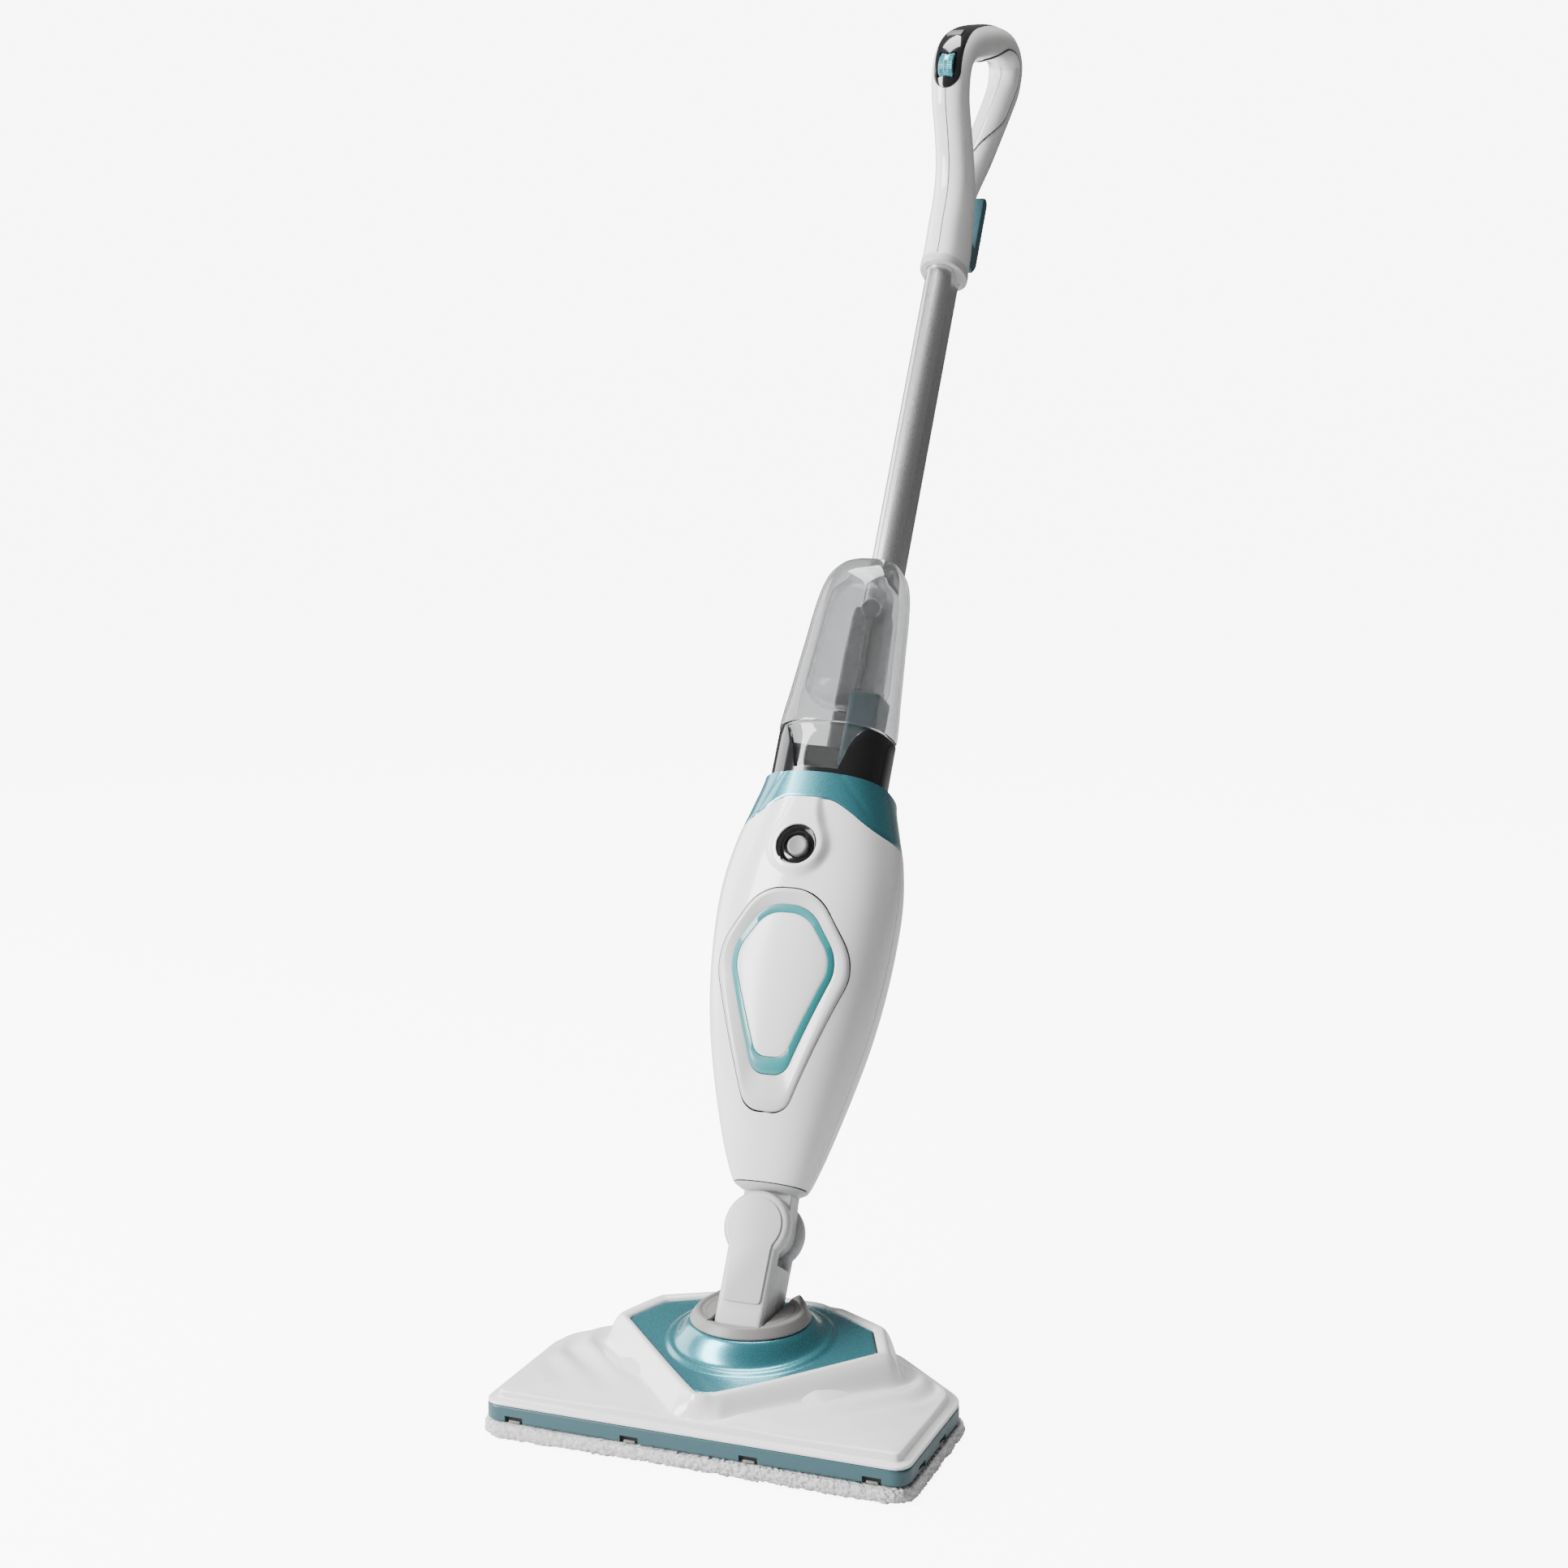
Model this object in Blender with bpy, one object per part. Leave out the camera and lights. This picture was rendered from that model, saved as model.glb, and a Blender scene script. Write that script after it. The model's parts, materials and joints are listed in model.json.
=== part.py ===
"""Upright steam mop: head on a microfibre pad, two-way neck, boiler body, lift-out tank, pole and loop handle.

World frame: metres, +X to the right of the mop, -Y to its front, +Z up, Z = 0 on the floor.
Everything above the head is drawn in a lean frame: x to the right, n towards the front, t along the pole.
The lean frame's origin lies 36 mm above the floor, and its t axis leans back by LEAN from the vertical.
"""

import math

import bmesh
import bpy
from mathutils import Matrix, Vector

# ---- driving dimensions -------------------------------------------------------------------------
LEAN = math.radians(30)  # backward lean of the pole
FOOT_Z = 0.0358  # height of the lean frame's origin
GAP = 0.0003  # clearance kept between touching pieces
WALL = 0.0025  # moulded wall

HEAD_FRONT = -0.0925  # y of the bumper's front face
HEAD_HALF = 0.1565  # half the bumper's width
HEAD_SIDE_Y = 0.030  # y where the straight sides end
HEAD_REAR_HALF = 0.086  # half width of the rear edge
HEAD_REAR = 0.094  # y of the rear edge
PAD_TOP = 0.0115
BAND_LOW, BAND_TOP = 0.0118, 0.0234
PAD_PROUD = 0.0042  # the pad stands out past the bumper
PAD_BOW = 0.0010  # its cloth rear edge bulges between the corners
NOTCH_TOP = 0.0168
NOTCH_HALF = 0.0068
NOTCH_X = (-0.132, -0.044, 0.044, 0.132)  # front notches, evenly spaced
NOTCH_Y = (-0.060, -0.0155)  # side notches
FLANGE_TOP = 0.0262
STEP_TOP = 0.0318
STEP_INSET = 0.0085

RING_Y = 0.0218  # centre of the swivel ring
RING_LOW_R, RING_TOP_R = 0.0435, 0.0360
RING_LOW_Z, RING_TOP_Z = 0.0662, 0.0743
PANEL_TIP_Z, PANEL_REAR_Z = 0.0449, 0.0560

TILT_T = 0.0222  # tilt axis along the pole
ROLL_T = 0.1000  # roll axis along the pole
NECK_HALF = 0.0185  # half width of the neck's stem
NECK_FRONT, NECK_REAR = 0.0220, -0.0210
EAR_R = 0.0250
EAR_IN = 0.0098  # inner face of an ear, from the pole's axis
SLOT_T = 0.0740  # bottom of the gap between the ears
REACH_BACK = math.radians(35)  # how far the neck lies back from the stored pose

SPLIT_LOW = 0.1310  # bottom of the casing shells
COLLAR_LOW, COLLAR_PEAK, COLLAR_TOP = 0.3850, 0.4050, 0.4258
SEAT_TOP = 0.4655
TANK_BACK = 0.0245
BUTTON_T = 0.3668
BUTTON_AXIS_N = 0.0790  # casing's front at the button
POLE_LOW, POLE_TOP = 0.3700, 0.9500
POLE_FRONT_R, POLE_REAR_R = 0.0115, 0.0102
POLE_FRONT_N, POLE_REAR_N = 0.0080, -0.0100
HOOK_T = 0.9300
HOOK_BACK = -0.0246  # back of the handle at the upper hook
HOOK_PIN_R = 0.0042
DIAL_N, DIAL_T, DIAL_R = 0.0725, 1.0385, 0.0125

# casing: height t, half width, n of the widest line, n of the front, n of the back
CASING = (
    (0.1265, 0.0240, 0.003, 0.0200, -0.0150),
    (0.1310, 0.0280, 0.005, 0.0240, -0.0175),
    (0.1400, 0.0322, 0.008, 0.0300, -0.0195),
    (0.1600, 0.0392, 0.013, 0.0405, -0.0220),
    (0.2000, 0.0507, 0.020, 0.0560, -0.0245),
    (0.2400, 0.0600, 0.025, 0.0670, -0.0262),
    (0.2800, 0.0657, 0.029, 0.0745, -0.0270),
    (0.3200, 0.0680, 0.032, 0.0790, -0.0272),
    (0.3500, 0.0670, 0.033, 0.0800, -0.0272),
    (0.3800, 0.0618, 0.034, 0.0795, -0.0272),
    (0.4000, 0.0555, 0.035, 0.0788, -0.0272),
    (0.4258, 0.0482, 0.037, 0.0780, -0.0272),
    (0.4700, 0.0452, 0.038, 0.0765, -0.0272),
)
# tank: height t, half width, n of the front
TANK = (
    (0.4286, 0.0424, 0.0740),
    (0.4660, 0.0424, 0.0740),
    (0.4672, 0.0450, 0.0768),
    (0.5000, 0.0425, 0.0733),
    (0.5400, 0.0392, 0.0693),
    (0.5750, 0.0362, 0.0655),
    (0.5950, 0.0322, 0.0610),
    (0.6065, 0.0256, 0.0545),
    (0.6130, 0.0165, 0.0475),
    (0.6150, 0.0070, 0.0400),
)
# handle centre line from the rim, up the front strut, over the roof and down the rear strut:
# n, t, half width, half depth
HANDLE = (
    (0.0000, 0.8925, 0.0180, 0.0245),
    (0.0000, 0.9100, 0.0180, 0.0243),
    (0.0030, 0.9300, 0.0175, 0.0232),
    (0.0085, 0.9580, 0.0165, 0.0195),
    (0.0205, 0.9820, 0.0155, 0.0165),
    (0.0390, 1.0020, 0.0150, 0.0150),
    (0.0570, 1.0190, 0.0152, 0.0145),
    (0.0670, 1.0380, 0.0158, 0.0145),
    (0.0660, 1.0560, 0.0160, 0.0148),
    (0.0530, 1.0740, 0.0160, 0.0150),
    (0.0270, 1.0960, 0.0155, 0.0145),
    (-0.0060, 1.1200, 0.0148, 0.0140),
    (-0.0350, 1.1350, 0.0145, 0.0135),
    (-0.0560, 1.1330, 0.0142, 0.0130),
    (-0.0610, 1.1130, 0.0138, 0.0125),
    (-0.0530, 1.0860, 0.0134, 0.0122),
    (-0.0400, 1.0520, 0.0132, 0.0122),
    (-0.0260, 1.0180, 0.0132, 0.0125),
    (-0.0130, 0.9880, 0.0130, 0.0110),
    (-0.0040, 0.9620, 0.0120, 0.0100),
)
LOOP_END = 14  # index on HANDLE where the rear strut starts

TEAL = (0.055, 0.165, 0.195)
PEARL = (0.170, 0.420, 0.480)
WHITE = (0.800, 0.800, 0.800)
PALE = (0.560, 0.565, 0.570)
GREY = (0.330, 0.330, 0.335)
BLACK = (0.012, 0.012, 0.013)


# ---- frames -------------------------------------------------------------------------------------
def lean(x, n, t):
    """A point of the lean frame: n towards the front, t along the pole."""
    return Vector((x, -n, t))


def axis_empty(name, parent, offset):
    """An empty on a joint's axis, in the lean frame."""
    empty = bpy.data.objects.new(name, None)
    bpy.context.collection.objects.link(empty)
    empty.parent = parent
    empty.location = offset
    return empty


# ---- materials and objects ----------------------------------------------------------------------
def finish(name, colour, roughness=0.4, metallic=0.0, alpha=1.0):
    material = bpy.data.materials.new(name)
    material.use_nodes = True
    shader = material.node_tree.nodes["Principled BSDF"]
    shader.inputs["Base Color"].default_value = (*colour, 1.0)
    shader.inputs["Roughness"].default_value = roughness
    shader.inputs["Metallic"].default_value = metallic
    shader.inputs["Alpha"].default_value = alpha
    return material


def new_object(name, bm, look):
    """Close a bmesh into a named object with its own material."""
    bmesh.ops.remove_doubles(bm, verts=bm.verts, dist=0.000005)
    bmesh.ops.recalc_face_normals(bm, faces=bm.faces)
    mesh = bpy.data.meshes.new(name)
    bm.to_mesh(mesh)
    bm.free()
    mesh.shade_smooth()
    mesh.set_sharp_from_angle(angle=math.radians(35))
    mesh.materials.append(finish(name, *look))
    obj = bpy.data.objects.new(name, mesh)
    bpy.context.collection.objects.link(obj)
    return obj


def ride(obj, empty, origin):
    """Hang a piece, drawn in its frame, on an empty that stands at origin in that frame."""
    obj.data.transform(Matrix.Translation(-Vector(origin)))
    obj.parent = empty


def boolean(obj, other, operation="DIFFERENCE"):
    """Apply one Boolean to obj and take the other object away."""
    modifier = obj.modifiers.new("cut", "BOOLEAN")
    modifier.operation = operation
    modifier.object = other
    modifier.solver = "EXACT"
    graph = bpy.context.evaluated_depsgraph_get()
    mesh = bpy.data.meshes.new_from_object(obj.evaluated_get(graph))
    obj.modifiers.clear()
    obj.data = mesh
    bpy.data.objects.remove(other)
    mesh.shade_smooth()
    mesh.set_sharp_from_angle(angle=math.radians(35))
    return obj


def cutter(bm):
    """A solid that only cuts or joins."""
    other = new_object("cutter", bm, (GREY,))
    other.display_type = "WIRE"
    other.hide_render = True
    return other


# ---- outlines and curves ------------------------------------------------------------------------
def along(stations, t):
    """Smooth values between stations, whose first column is the height t."""
    last = len(stations) - 1
    k = max(0, min(last - 1, sum(1 for s in stations if s[0] <= t) - 1))
    a, b = stations[k], stations[k + 1]
    before, after = stations[max(0, k - 1)], stations[min(last, k + 2)]
    u = min(1.0, max(0.0, (t - a[0]) / (b[0] - a[0])))
    step = b[0] - a[0]
    values = []
    for i in range(1, len(a)):
        slope_a = (b[i] - before[i]) / (b[0] - before[0])
        slope_b = (after[i] - a[i]) / (after[0] - a[0])
        h = (2 * u**3 - 3 * u**2 + 1, u**3 - 2 * u**2 + u, 3 * u**2 - 2 * u**3, u**3 - u**2)
        values.append(h[0] * a[i] + h[1] * step * slope_a + h[2] * b[i] + h[3] * step * slope_b)
    return values


def power(value, exponent):
    return math.copysign(abs(value) ** exponent, value)


def smooth(low, high, value):
    u = min(1.0, max(0.0, (value - low) / (high - low)))
    return u * u * (3 - 2 * u)


def rounded(corners, radii, steps=5):
    """A closed outline of 2D corners, each rounded by its own radius with an arc."""
    points = []
    count = len(corners)
    for i, (corner, radius) in enumerate(zip(corners, radii)):
        here = Vector(corner)
        back = (Vector(corners[i - 1]) - here).normalized()
        ahead = (Vector(corners[(i + 1) % count]) - here).normalized()
        half = back.angle(ahead) / 2
        reach = radius / math.tan(half)
        centre = here + (back + ahead).normalized() * (radius / math.sin(half))
        start, end = here + back * reach - centre, here + ahead * reach - centre
        turn = start.angle_signed(end)
        for k in range(steps + 1):
            spin = Matrix.Rotation(-turn * k / steps, 2)
            points.append(centre + spin @ start)
    return points


def radial(outline, centre, angles):
    """Distances from centre to a star-shaped outline along each angle."""
    c = Vector(centre)
    reach = []
    for angle in angles:
        d = Vector((math.cos(angle), math.sin(angle)))
        best = 0.0
        for i, p in enumerate(outline):
            q = outline[(i + 1) % len(outline)]
            e = q - p
            cross = d.x * e.y - d.y * e.x
            if abs(cross) < 1e-12:
                continue
            w = p - c
            s = (w.x * e.y - w.y * e.x) / cross
            u = (w.x * d.y - w.y * d.x) / cross
            if -1e-6 <= u <= 1 + 1e-6 and s > best:
                best = s
        reach.append(best)
    return reach


# ---- solids -------------------------------------------------------------------------------------
def add_grid(bm, rows, wrap):
    """Vertices and quads of one surface, row by row."""
    grid = [[bm.verts.new(p) for p in row] for row in rows]
    columns = len(rows[0])
    for low, high in zip(grid, grid[1:]):
        for j in range(columns if wrap else columns - 1):
            k = (j + 1) % columns
            bm.faces.new((low[j], low[k], high[k], high[j]))
    return grid


def slab(outer, inner, wrap=True, cap_low=False, cap_high=False):
    """A wall between two matching surfaces. A capped end is closed across instead of round its rim."""
    bm = bmesh.new()
    a, b = add_grid(bm, outer, wrap), add_grid(bm, inner, wrap)
    columns = len(outer[0])
    for capped, end in ((cap_low, 0), (cap_high, -1)):
        if capped:
            bm.faces.new(a[end])
            bm.faces.new(b[end])
            continue
        for j in range(columns if wrap else columns - 1):
            k = (j + 1) % columns
            bm.faces.new((a[end][j], a[end][k], b[end][k], b[end][j]))
    if not wrap:
        for side in (0, -1):
            for i in range(len(outer) - 1):
                bm.faces.new((a[i][side], a[i + 1][side], b[i + 1][side], b[i][side]))
    return bm


def loft(rows):
    """A solid through closed sections, with flat ends."""
    bm = bmesh.new()
    grid = add_grid(bm, rows, True)
    bm.faces.new(grid[0])
    bm.faces.new(grid[-1])
    return bm


def prism(outline, low, high, place, bevel=0.0, segments=2):
    """An outline extruded from low to high; place(u, v, w) gives each point's position."""
    bm = bmesh.new()
    base = [bm.verts.new(place(p[0], p[1], low)) for p in outline]
    face = bm.faces.new(base)
    moved = bmesh.ops.extrude_face_region(bm, geom=[face])
    for vert in (v for v in moved["geom"] if isinstance(v, bmesh.types.BMVert)):
        k = min(range(len(base)), key=lambda i: (base[i].co - vert.co).length)
        vert.co = place(outline[k][0], outline[k][1], high)
    bmesh.ops.recalc_face_normals(bm, faces=bm.faces)
    if bevel:
        caps = [f for f in bm.faces if len(f.verts) == len(outline)]
        edges = list({e for f in caps for e in f.edges})
        bmesh.ops.bevel(
            bm, geom=edges, offset=bevel, segments=segments, affect="EDGES", profile=0.5, material=-1
        )
    return bm


def flat(u, v, w):
    """Outline in the floor's plane, raised by w."""
    return Vector((u, v, w))


def facing(u, v, w):
    """Outline in the plane across n, pushed to n = w."""
    return lean(u, w, v)


def sideways(u, v, w):
    """Outline of n and t, pushed to x = w."""
    return lean(w, u, v)


def rod(start, end, radius, sides=20):
    """A round bar between two points."""
    bm = bmesh.new()
    start, end = Vector(start), Vector(end)
    run = end - start
    turn = Vector((0, 0, 1)).rotation_difference(run.normalized()).to_matrix().to_4x4()
    bmesh.ops.create_cone(
        bm, cap_ends=True, segments=sides, radius1=radius, radius2=radius, depth=run.length,
        matrix=Matrix.Translation((start + end) / 2) @ turn,
    )
    return bm


def turned(profile, sides, matrix):
    """A solid turned about Z from (radius, height) points that start and end on the axis."""
    bm = bmesh.new()
    verts = [bm.verts.new((r, 0, z)) for r, z in profile]
    edges = [bm.edges.new(pair) for pair in zip(verts, verts[1:])]
    bmesh.ops.spin(
        bm, geom=verts + edges, axis=(0, 0, 1), cent=(0, 0, 0), steps=sides,
        angle=math.tau, use_merge=True,
    )
    bmesh.ops.remove_doubles(bm, verts=bm.verts, dist=0.000005)
    bmesh.ops.transform(bm, matrix=matrix, verts=bm.verts)
    return bm


def box(low, high, bevel=0.0, matrix=None):
    bm = bmesh.new()
    low, high = Vector(low), Vector(high)
    bmesh.ops.create_cube(bm, size=1.0)
    bmesh.ops.scale(bm, vec=high - low, verts=bm.verts)
    bmesh.ops.translate(bm, vec=(low + high) / 2, verts=bm.verts)
    if bevel:
        bmesh.ops.bevel(
            bm, geom=bm.edges[:], offset=bevel, segments=2, affect="EDGES", profile=0.5, material=-1
        )
    if matrix:
        bmesh.ops.transform(bm, matrix=matrix, verts=bm.verts)
    return bm


def pipe(name, points, radius, look):
    """A bent tube as a filled curve."""
    curve = bpy.data.curves.new(name, "CURVE")
    curve.dimensions = "3D"
    spline = curve.splines.new("POLY")
    spline.points.add(len(points) - 1)
    for target, point in zip(spline.points, points):
        target.co = (*point, 1.0)
    curve.bevel_depth = radius
    curve.bevel_resolution = 1
    curve.use_fill_caps = True
    curve.materials.append(finish(name, *look))
    obj = bpy.data.objects.new(name, curve)
    bpy.context.collection.objects.link(obj)
    return obj


# ---- head ---------------------------------------------------------------------------------------
HEAD_CENTRE = (0.0, RING_Y)


def head_outline(inset, radius=0.012):
    """The head's plan: straight front and sides, rear corners cut back."""
    half, rear_half = HEAD_HALF - inset, HEAD_REAR_HALF - inset * 0.45
    front, rear = HEAD_FRONT + inset, HEAD_REAR - inset
    side = HEAD_SIDE_Y - inset * 0.4
    corners = ((-half, front), (half, front), (half, side), (rear_half, rear), (-rear_half, rear), (-half, side))
    front_r = max(radius - inset, 0.003)
    return rounded(corners, (front_r, front_r, 0.028, 0.030, 0.030, 0.028))


def panel_outline(outset):
    """The pearly panel's plan: a point to the front, shoulders at the sides, cut off behind."""
    o = outset
    corners = (
        (0.0, -0.0705 - 1.5 * o),
        (0.0955 + 1.15 * o, 0.0225),
        (0.0800 + o, 0.0560 + 0.6 * o),
        (0.0300, 0.0860 + o),
        (-0.0300, 0.0860 + o),
        (-0.0800 - o, 0.0560 + 0.6 * o),
        (-0.0955 - 1.15 * o, 0.0225),
    )
    return rounded(corners, (0.010, 0.006, 0.008, 0.020, 0.020, 0.008, 0.006), steps=3)


def fan_angles():
    """Angles round the head, with one on every corner of the plan and the panel."""
    plan = head_outline(0.0)[::2] + panel_outline(0.0)[::2]
    exact = [math.atan2(p.y - RING_Y, p.x) for p in plan]
    even = [math.tau * k / 26 - math.pi for k in range(26)]
    angles = []
    for angle in sorted(exact + even):
        if not angles or angle - angles[-1] > 0.030:
            angles.append(angle)
    return angles


def fan_row(reach, angles, height):
    """A ring of points at distances reach from the head's centre; height(x, y) gives z."""
    row = []
    for r, angle in zip(reach, angles):
        x, y = r * math.cos(angle), RING_Y + r * math.sin(angle)
        row.append(Vector((x, y, height(x, y))))
    return row


def panel_height(x, y):
    """Base height of the panel, lowest at its tip."""
    return PANEL_TIP_Z + (PANEL_REAR_Z - PANEL_TIP_Z) * smooth(-0.075, 0.070, y)


def boss_height(x, y):
    """The panel with its domed boss under the swivel ring."""
    r = math.hypot(x, y - RING_Y)
    step = 0.0022 * smooth(0.0640, 0.0560, r)
    dome = (RING_LOW_Z - panel_height(x, y) - 0.0022) * smooth(0.0590, RING_LOW_R, r)
    return panel_height(x, y) + step + dome


def neck_room():
    """The space that the neck sweeps when it lies back, as cutters for the head."""
    axis = Vector((0, math.sin(LEAN) * TILT_T, FOOT_Z + math.cos(LEAN) * TILT_T))
    turn = Matrix.Translation(axis) @ Matrix.Rotation(-LEAN - REACH_BACK - math.radians(1.5), 4, "X")
    stem = box((-NECK_HALF - 0.0018, -0.050, 0.0), (NECK_HALF + 0.0018, 0.0222, 0.160), 0.0, turn)
    ears = box((-EAR_R - 0.0015, -0.050, 0.044), (EAR_R + 0.0015, 0.0228, 0.170), 0.0, turn)
    return [cutter(stem), cutter(ears)]


def make_mop_pad():
    plan = head_outline(-PAD_PROUD, 0.014)
    outline = []
    for i, corner in enumerate(plan):
        after = plan[(i + 1) % len(plan)]
        outline.append(corner)
        if min(corner.y, after.y) > HEAD_REAR and (after - corner).length > HEAD_REAR_HALF:
            outline += [
                corner.lerp(after, u) + Vector((0, PAD_BOW * 4 * u * (1 - u))) for u in (0.25, 0.5, 0.75)
            ]
    return new_object("mop_pad", prism(outline, 0.0, PAD_TOP, flat, 0.0035, 3), (WHITE, 0.95))


def make_sole_plate():
    plate = new_object(
        "sole_plate", prism(head_outline(0.0030), BAND_LOW, 0.0160, flat), (TEAL, 0.5)
    )
    for k in range(-4, 5):
        boolean(plate, cutter(rod((k * 0.022, -0.045, 0.005), (k * 0.022, -0.045, 0.03), 0.002, 8)))
    return plate


def make_bumper_band():
    """The teal wall round the sole, with a notch for each pad clip."""
    outer, inner = head_outline(0.0), head_outline(0.0027)
    band = cutter(prism(outer, BAND_LOW, BAND_TOP, flat, 0.0012))
    band.name = "bumper_band"
    band.display_type, band.hide_render = "TEXTURED", False
    boolean(band, cutter(prism(inner, 0.0, 0.05, flat)))
    for x, y, wide, deep in clip_places():
        boolean(band, cutter(box((x - wide, y - deep, 0.0), (x + wide, y + deep, NOTCH_TOP))))
    band.data.materials.clear()
    band.data.materials.append(finish("bumper_band", TEAL, 0.45))
    return band


def clip_places():
    """Centre and half sizes of each notch through the bumper."""
    places = [(x, HEAD_FRONT, NOTCH_HALF, 0.006) for x in NOTCH_X]
    for side in (1, -1):
        places += [(side * HEAD_HALF, y, 0.006, NOTCH_HALF) for y in NOTCH_Y]
    return places


def make_pad_clips():
    """A small grey tab in each notch, which grips the pad's edge."""
    clips = []
    for number, (x, y, wide, deep) in enumerate(clip_places(), 1):
        front = abs(y - HEAD_FRONT) < 1e-9
        out = Vector((0, -1, 0)) if front else Vector((math.copysign(1, x), 0, 0))
        centre = Vector((x, y, 0)) - out * 0.0012
        half = Vector((wide - 0.0015, 0.0012, 0)) if front else Vector((0.0012, deep - 0.0015, 0))
        low, high = centre - half, centre + half
        low.z, high.z = BAND_LOW + 0.0001, NOTCH_TOP - 0.0022
        clips.append(new_object(f"pad_clip_{number}", box(low, high), (GREY, 0.5)))
    return clips


def make_head_cover():
    """White moulding: rim flange, step, and sides that climb to the ridge round the panel."""
    angles = fan_angles()

    def plan(inset):
        return radial(head_outline(inset), HEAD_CENTRE, angles)

    def seat(outset):
        return radial(panel_outline(outset), HEAD_CENTRE, angles)

    edge, step = plan(0.0006), plan(STEP_INSET)
    ridge, lip = seat(0.0075), seat(GAP)
    ripple = [0.0009 * math.sin(7 * a) for a in angles]

    def between(a, b, u):
        return [p + (q - p) * u for p, q in zip(a, b)]

    def level(z):
        return lambda x, y: z

    def slope(u, drop=0.0):
        return lambda x, y: STEP_TOP + (panel_height(x, y) + 0.0022 - STEP_TOP) * u - drop

    def waved(row, scale):
        return [p + Vector((0, 0, scale * w)) for p, w in zip(row, ripple)]

    outer = [
        fan_row(edge, angles, level(BAND_TOP + GAP)),
        fan_row(edge, angles, level(FLANGE_TOP - 0.0008)),
        fan_row(plan(0.0018), angles, level(FLANGE_TOP)),
        fan_row(plan(STEP_INSET - 0.0012), angles, level(FLANGE_TOP)),
        fan_row(step, angles, level(STEP_TOP - 0.0010)),
        fan_row(plan(STEP_INSET + 0.0016), angles, level(STEP_TOP)),
        waved(fan_row(between(step, ridge, 0.40), angles, slope(0.16)), 1.0),
        waved(fan_row(between(step, ridge, 0.72), angles, slope(0.45)), 1.0),
        fan_row(between(step, ridge, 0.93), angles, slope(0.90)),
        fan_row(seat(0.0055), angles, slope(1.0)),
        fan_row(seat(0.0018), angles, slope(1.0)),
        fan_row(lip, angles, slope(1.0, 0.0022)),
    ]
    inner = [
        fan_row(plan(0.0032), angles, level(BAND_TOP + GAP)),
        fan_row(plan(0.0036), angles, level(FLANGE_TOP - 0.0014)),
        fan_row(plan(0.0042), angles, level(FLANGE_TOP - 0.0013)),
        fan_row(plan(STEP_INSET + 0.0008), angles, level(FLANGE_TOP - 0.0012)),
        fan_row(plan(STEP_INSET + 0.0022), angles, level(STEP_TOP - 0.0030)),
        fan_row(plan(STEP_INSET + 0.0040), angles, level(STEP_TOP - 0.0022)),
        fan_row(between(step, ridge, 0.42), angles, slope(0.16, 0.0034)),
        fan_row(between(step, ridge, 0.74), angles, slope(0.45, 0.0036)),
        fan_row(between(step, ridge, 0.96), angles, slope(0.90, 0.0036)),
        fan_row(seat(0.0046), angles, slope(1.0, 0.0036)),
        fan_row(seat(0.0018), angles, slope(1.0, 0.0046)),
        fan_row(lip, angles, slope(1.0, 0.0050)),
    ]
    cover = new_object("head_cover", slab(outer, inner), (WHITE, 0.25))
    for room in neck_room():
        boolean(cover, room)
    return cover


def make_head_panel():
    """Pearly inlay with a domed boss and the opening for the swivel ring."""
    angles = fan_angles()

    def seat(inset):
        return radial(panel_outline(-inset), HEAD_CENTRE, angles)

    def circle(radius):
        return [radius] * len(angles)

    outer = [
        fan_row(seat(0.0), angles, lambda x, y: panel_height(x, y) - 0.0008),
        fan_row(seat(0.0012), angles, panel_height),
        fan_row([max(0.062, 0.5 * r) for r in seat(0.006)], angles, boss_height),
    ]
    outer += [fan_row(circle(r), angles, boss_height) for r in (0.0590, 0.0560, 0.0500, 0.0450)]
    outer.append(fan_row(circle(0.0405), angles, lambda x, y: RING_LOW_Z - GAP))
    inner = [
        [Vector((p.x, p.y, p.z - drop)) for p in row]
        for row, drop in zip(outer, (0.0022, 0.0028, 0.0028, 0.0028, 0.0028, 0.0028, 0.0028, 0.0024))
    ]
    panel = new_object("head_panel", slab(outer, inner), (PEARL, 0.3, 0.6))
    for room in neck_room():
        boolean(panel, room)
    return panel


def make_swivel_ring():
    """Grey ring with a flat disc, slotted for the neck and open behind."""
    profile = (
        (0.0, RING_TOP_Z - 0.0040),
        (0.0330, RING_TOP_Z - 0.0040),
        (0.0345, RING_LOW_Z + 0.0003),
        (RING_LOW_R - 0.0006, RING_LOW_Z + 0.0003),
        (RING_LOW_R, RING_LOW_Z + 0.0016),
        (0.0398, RING_TOP_Z - 0.0014),
        (0.0380, RING_TOP_Z),
        (RING_TOP_R, RING_TOP_Z),
        (RING_TOP_R - 0.0008, RING_TOP_Z - 0.0009),
        (0.0, RING_TOP_Z - 0.0009),
    )
    ring = new_object(
        "swivel_ring", turned(profile, 44, Matrix.Translation((0, RING_Y, 0))), (GREY, 0.5)
    )
    half = NECK_HALF + 0.0018
    boolean(ring, cutter(box((-half, -0.0115, 0.040), (half, 0.100, 0.100))))
    for room in neck_room():
        boolean(ring, room)
    return ring


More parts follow.
